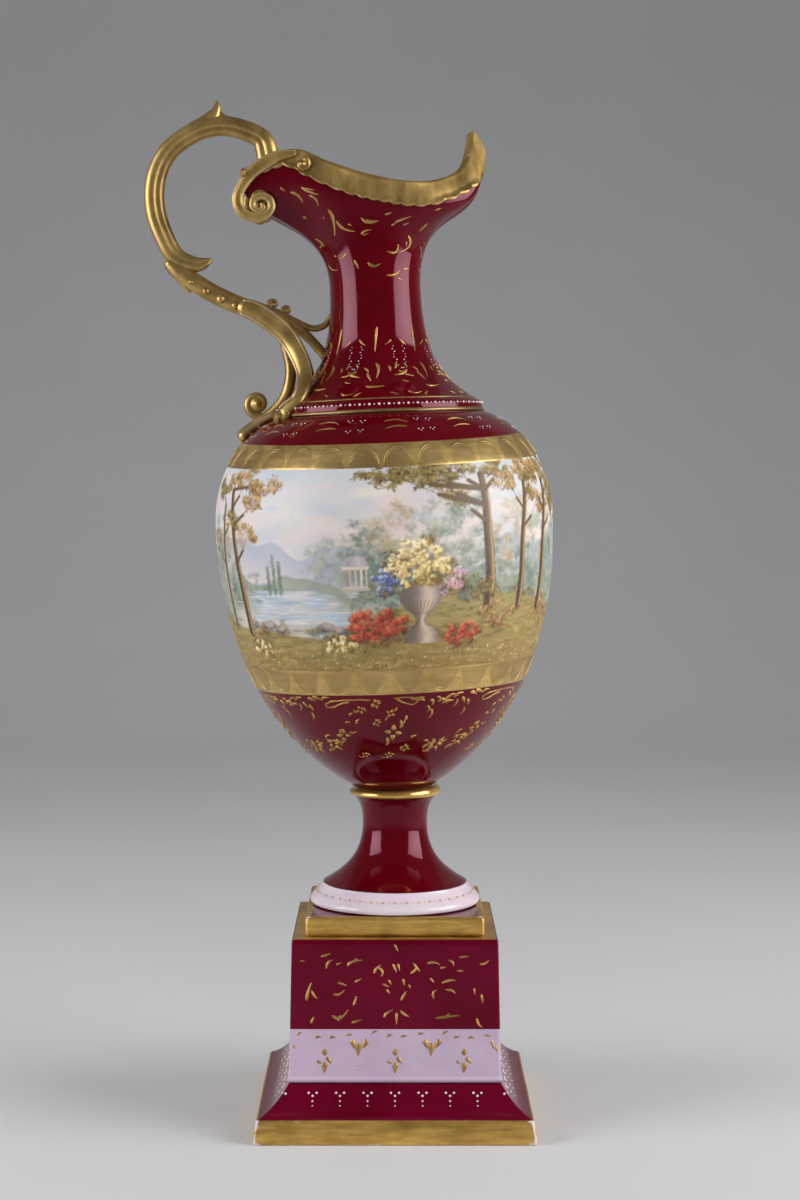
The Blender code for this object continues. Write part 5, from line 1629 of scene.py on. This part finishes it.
def rolled(name, paths, material, across=1.0, through=1.0, replaced=(), sides=18):
    """Gilt rolls along paths of x, y, height and radius on the leaning axis, with rounded ends."""
    points = []
    widths = []
    runs = []
    for path in paths:
        closed = [path[0]] + list(path) + [path[-1]]
        for index, (x, y, z, radius) in enumerate(closed):
            end = index in (0, len(closed) - 1)
            if end:
                near = closed[1] if index == 0 else closed[-2]
                beyond = closed[2] if index == 0 else closed[-3]
                out = (Vector(near[:3]) - Vector(beyond[:3])).normalized() * radius * 0.5
                points.append(lean @ (Vector((x, y, z)) + out))
                widths.append(radius * 0.5)
            else:
                points.append(lean @ Vector((x, y, z)))
                widths.append(radius)
        runs.append(len(closed))
    inputs = {"Sides": sides, "Across": across, "Through": through, "Material": material}
    piece = grown(name, tube_tree, inputs, points, widths, runs, "ewer")
    if replaced:
        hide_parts(*replaced)


def volute(centre, radius, start, sweep, thickness, haste, points=48):
    """Spiral round a centre, along the handle's plane, as places and radii of the roll."""
    x, y, z = centre
    spiral = []
    for step in range(points + 1):
        share = step / points
        angle = math.radians(start + sweep * share)
        arm = radius * (1 - 0.80 * share**haste)
        width = thickness / 2 * (1 - 0.45 * share)
        spiral.append((x + arm * math.cos(angle), y, z + arm * math.sin(angle), width))
    return spiral


handle_gold = gilding("handle_gold", (0.54, 0.365, 0.13, 1), (0.30, 0.19, 0.058, 1), (1.4, 1.4, 1), 0.29)
LIP = [
    (-30.8, 18.8, 54.9, 1.3),
    (-33.3, 18.4, 54.7, 1.8),
    (-37.0, 17.8, 54.2, 2.2),
    (-40.0, 17.4, 53.3, 2.5),
    (-45.1, 16.8, 50.6, 2.6),
    (-49.4, 16.6, 47.4, 2.5),
    (-52.7, 16.6, 43.3, 2.3),
    (-55.0, 16.6, 38.7, 2.2),
    (-54.9, 16.6, 34.4, 2.2),
    (-52.3, 16.8, 30.6, 2.2),
    (-48.0, 17.0, 29.2, 2.0),
    (-43.9, 17.2, 30.1, 1.8),
    (-41.4, 17.4, 33.1, 1.6),
    (-42.0, 17.6, 36.5, 1.5),
    (-45.2, 17.8, 38.0, 1.4),
    (-48.4, 17.9, 36.6, 1.3),
    (-48.9, 18.0, 33.6, 1.2),
    (-46.8, 18.1, 31.9, 1.1),
    (-44.7, 18.2, 33.2, 0.9),
    (-45.4, 18.2, 34.8, 0.6),
]


def shifted(path, distance, share):
    """Path in the handle's plane moved to its right by a share of its radius, with its radius scaled."""
    moved = []
    for index, (x, y, z, radius) in enumerate(path):
        before = path[max(index - 1, 0)]
        after = path[min(index + 1, len(path) - 1)]
        run = Vector((after[0] - before[0], after[2] - before[2])).normalized()
        moved.append((x + run.y * distance * radius, y, z - run.x * distance * radius, radius * share))
    return moved


PIVOT_X = -40.0
PIVOT_RISE = 53.3


def on_side(points, side, size):
    """Path of a lip scroll on one side of the mouth, a smaller one drawn in towards its upper end."""
    path = []
    for x, y, rise, radius in points:
        z = MOUTH_SEAT + PIVOT_RISE + size * (rise - PIVOT_RISE)
        path.append((PIVOT_X + size * (x - PIVOT_X), side * y, z, size * radius))
    return path


LIP_DISC = [(13.6, 7.6), (15.2, 7.6), (15.8, 6.6), (16.2, 4.0), (16.4, 1.0)]
LIP_BEAD = [(14.6, 1.5), (16.0, 2.1), (17.4, 2.1), (18.6, 1.5), (19.2, 0.6)]
disc_path = [(-46.4, y, 34.1, radius) for y, radius in LIP_DISC]
bead_path = [(-52.4, y, 47.9, radius) for y, radius in LIP_BEAD]
rubbed_gold = gilding("rubbed_gold", (0.66, 0.50, 0.28, 1), (0.52, 0.36, 0.16, 1), (1.4, 1.4, 1), 0.30)
lip_edges = []
for name, side, size in (("near", -1, 1.0), ("far", 1, 0.86)):
    roll = spline(on_side(LIP, side, size), 7)
    lip_paths = [roll, on_side(disc_path, side, size), on_side(bead_path, side, size)]
    rolled(f"lip_roll_{name}", lip_paths, lip_gold, 0.62, 1.0, (f"lip_scroll_{name}",))
    raised = [(x, y + side * 0.22 * radius, z, radius) for x, y, z, radius in roll]
    lip_edges += [shifted(raised, 0.80, 0.24), shifted(raised[20:], -0.80, 0.24)]
rolled("lip_edges", lip_edges, rubbed_gold, 1.3, 1.0, (), 10)
CURL_KNOB = [(19.6, 1.8), (21.0, 1.8), (22.0, 1.2), (22.4, 0.5)]
curl_paths = []
for side in (-1, 1):
    curl_paths.append(volute((-27.6, side * 20.3, MOUTH_SEAT + 50.0), 2.4, 60, -430, 3.4, 0.8, 40))
    curl_paths.append([(-27.8, side * y, MOUTH_SEAT + 50.1, radius) for y, radius in CURL_KNOB])
rolled("rim_curls", curl_paths, lip_gold, 1.1)

# Handle: hand-built porcelain scrolls luted together, gilded all over with satin gold; the arch springs from
# the back of the rim and ends in a leaf tip, a thorn stands on it, the stem carries pearls.


def above_seat(rise):
    """Height of a point that is measured from the seat of the mouth."""
    return MOUTH_SEAT + rise


def in_plane(points, height_at, steps):
    """Smooth path in the handle's plane through points of x, height and radius."""
    return spline([(x, 0.0, height_at(height), radius) for x, height, radius in points], steps)


ARCH = [
    (-43.0, 47.12, 3.42),
    (-43.0, 58.42, 3.96),
    (-46.51, 65.29, 3.6),
    (-60.19, 70.2, 3.6),
    (-72.96, 68.09, 3.6),
    (-84.82, 60.02, 3.6),
    (-90.47, 48.44, 3.6),
    (-90.93, 35.1, 3.6),
    (-86.64, 21.76, 3.5),
    (-82.08, 15.3, 3.2),
    (-75.0, 12.4, 2.7),
    (-71.0, 12.9, 1.9),
    (-68.2, 14.4, 0.6),
]
arch_path = in_plane(ARCH, above_seat, 8)
arch_rolls = [shifted(arch_path, 0.30, 0.86), shifted(arch_path, -0.48, 0.74)]
rolled("arch_scroll", arch_rolls, handle_gold, 1.0, 1.0, ("handle_arch",), 24)
THORN = [
    (-78.5, 66.8, 1.8),
    (-74.3, 69.8, 2.3),
    (-68.8, 72.2, 2.7),
    (-65.2, 74.4, 2.9),
    (-63.7, 77.0, 2.0),
    (-63.3, 79.2, 1.2),
    (-63.6, 80.6, 0.5),
]
HEEL = [(-62.0, 75.8, 0.9), (-61.3, 73.9, 1.6), (-58.5, 71.6, 2.2)]
thorn_paths = [in_plane(THORN, above_seat, 5), in_plane(HEEL, above_seat, 5)]
rolled("arch_thorn", thorn_paths, handle_gold, 0.8, 1.0)
STEM_RISE = 68.2


def between(share):
    """Height between the shoulder and the foot of the arch."""
    return SHOULDER_TOP + share * STEM_RISE


STEM = [
    (-86.18, 0.99, 2.38),
    (-80.71, 0.915, 3.4),
    (-69.31, 0.80, 3.4),
    (-57.46, 0.71, 3.4),
    (-50.16, 0.68, 3.06),
    (-41.8, 0.63, 2.16),
    (-30.45, 0.52, 1.8),
    (-20.24, 0.34, 1.8),
]
stem_path = in_plane(STEM, between, 8)
rolled("stem_scroll", [stem_path], handle_gold, 1.0, 1.14, ("handle_stem",), 24)
pearl_points = []
pearl_widths = []
for index, width in ((11, 1.2), (15, 1.7), (19, 2.0), (23, 1.9), (27, 1.5)):
    x, y, z, radius = stem_path[index]
    for side in (-1, 1):
        pearl_points.append(lean @ Vector((x, side * radius * 0.9, z - 0.25 * radius)))
        pearl_widths.append(width)
enamel_dots("stem_pearls", pearl_points, pearl_widths, "ewer", lip_gold)
SPUR = [(-80.5, 0.88, 2.2), (-79.3, 0.83, 1.3), (-77.6, 0.795, 0.4)]
outer_curl = volute((-43.0, 0.0, between(0.706)), 2.2, 190, -330, 2.4, 0.8, 24)
inner_curl = volute((-37.4, 0.0, between(0.665)), 2.0, 190, -330, 2.2, 0.8, 24)
rolled("stem_trim", [in_plane(SPUR, between, 6), outer_curl, inner_curl], handle_gold, 0.9, 1.0, (), 12)

# Legs and lower scrolls: rolled porcelain in the same gold; two leaf legs astride the stem stand on the
# shoulder, a back scroll ends in a volute over a small leaf, and a thin tendril reaches the neck.


def leg_spot(share, side, stand, radius):
    """Point of a leg standing off the neck."""
    height = between(share)
    return (-math.sqrt((neck_radius(max(height, MOULDING_TOP)) + stand) ** 2 - side**2), side, height, radius)


leg_half = spline(
    [
        (-55.6, 6.9, between(0.690), 3.5),
        (-50.0, 6.9, between(0.660), 4.1),
        (-39.71, 6.9, between(0.54), 4.1),
        leg_spot(0.40, 9.17, 12.4, 3.8),
        leg_spot(0.24, 15.2, 6.1, 3.3),
        leg_spot(0.11, 22.0, 2.4, 3.1),
        leg_spot(0.045, 22.6, 2.9, 2.9),
        (-39.0, 23.2, between(0.008), 2.8),
        (-42.0, 23.0, between(0.000), 2.3),
    ],
    8,
)
LEG_BALL = [(19.6, 0.8), (20.6, 2.4), (22.6, 3.3), (24.6, 2.6), (25.8, 0.8)]
leg_edges = []
for name, side in (("near", -1), ("far", 1)):
    leg_path = [(x, side * y, z, radius) for x, y, z, radius in leg_half]
    ball_path = [(-41.5, side * y, SHOULDER_TOP, width) for y, width in LEG_BALL]
    rolled(f"leg_leaf_{name}", [leg_path, ball_path], handle_gold, 0.72, 1.0, (f"handle_leg_{name}",), 20)
    raised = [(x, y + side * 0.3 * radius, z, radius) for x, y, z, radius in leg_path[:50]]
    leg_edges += [shifted(raised, -0.78, 0.2), shifted(raised, 0.78, 0.2)]
rolled("leg_edges", leg_edges, rubbed_gold, 1.2, 1.0, (), 10)
EYE_X = -51.3
EYE_HEIGHT = 162.5
BACK_STEM = [(-41.8, 0.625, 1.68), (-38.46, 0.45, 2.1), (-36.78, 0.29, 2.1), (-39.71, 0.13, 2.1)]
back_points = [(x, 0.0, between(share), radius) for x, share, radius in BACK_STEM]
back_volute = volute((EYE_X, 0.0, EYE_HEIGHT), 6.3, -55, -560, 3.2, 0.55)
back_path = spline(back_points + [back_volute[0], back_volute[4]], 8) + back_volute[5:]
HALF_EYE = [(-2.9, 0.6), (-2.4, 1.3), (-1.4, 1.8), (-1.1, 3.4)]
back_eye = HALF_EYE + [(-y, width) for y, width in reversed(HALF_EYE)]
eye_path = [(EYE_X, y, EYE_HEIGHT, width) for y, width in back_eye]
rolled("back_roll", [back_path, eye_path], handle_gold, 1.2, 1.15, ("handle_back_scroll",))
tab_path = [(-r - 1.0, 0.0, z + 1.3, 2.2 + 0.07 * (r - 43.6)) for r, z in shoulder[::-2] if r < 57.5]
rolled("shoulder_leaf", [tab_path], rubbed_gold, 1.8, 1.0, ("handle_shoulder_tab",))
TENDRIL = [(-48.07, 0.66, 1.4), (-41.8, 0.66, 1.4), (-34.28, 0.60, 1.4)]
TENDRIL += [(-27.17, 0.55, 1.4), (-21.9, 0.565, 1.4), (-19.1, 0.62, 1.12)]
tendril_path = in_plane(TENDRIL, between, 8)
rolled("neck_tendril", [tendril_path], handle_gold, 1.0, 1.0, ("handle_tendril",), 14)

# Rod, nuts and washers inside: drawn steel rod with a rolled thread, brass nuts, pressed steel washers and
# leather pads; tightened, they hold belly, collar, foot and slab together.


def mottled(material, shader, pattern, dark, light, grain, smooth, rough):
    """Unglazed finish: a colour that changes with a pattern, and a roughness with a fine grain."""
    feed(material, shader, "Base Color", blend(material, pattern, dark, light))
    feed(material, shader, "Roughness", levels(material, noise(material, grain, 3), 0.3, 0.7, smooth, rough))


steel, steel_shader = new_material("drawn_steel", Metallic=1.0)
draw_marks = noise(steel, 300, 4, (1, 1, 0.1))
mottled(steel, steel_shader, draw_marks, (0.30, 0.30, 0.31, 1), (0.50, 0.50, 0.50, 1), 500, 0.3, 0.5)
along_rod = shading(steel, "TexCoord", {}).outputs["Object"]
thread_inputs = {"Vector": along_rod, "Scale": 400.0, "Distortion": 0.0}
thread = shading(steel, "TexWave", thread_inputs, wave_type="BANDS", bands_direction="Z")
relief(steel, steel_shader, thread.outputs["Fac"], 0.4, 0.0003)
brass, brass_shader = new_material("nut_brass", Metallic=1.0)
tarnish = noise(brass, 260, 4)
mottled(brass, brass_shader, tarnish, (0.36, 0.23, 0.07, 1), (0.58, 0.42, 0.16, 1), 500, 0.28, 0.48)
relief(brass, brass_shader, noise(brass, 900, 3), 0.2, 0.0002)
leather, leather_shader = new_material("pad_leather")
hide = noise(leather, 700, 5)
mottled(leather, leather_shader, hide, (0.09, 0.045, 0.02, 1), (0.19, 0.10, 0.05, 1), 900, 0.65, 0.85)
relief(leather, leather_shader, noise(leather, 1500, 4), 0.5, 0.0004)
hardware = {
    "tie_rod": steel,
    "upper_washer": steel,
    "lower_washer": steel,
    "upper_nut": brass,
    "lower_nut": brass,
    "upper_pad": leather,
    "lower_pad": leather,
}
for node_name, material in hardware.items():
    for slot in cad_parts[node_name].material_slots:
        slot.material = material
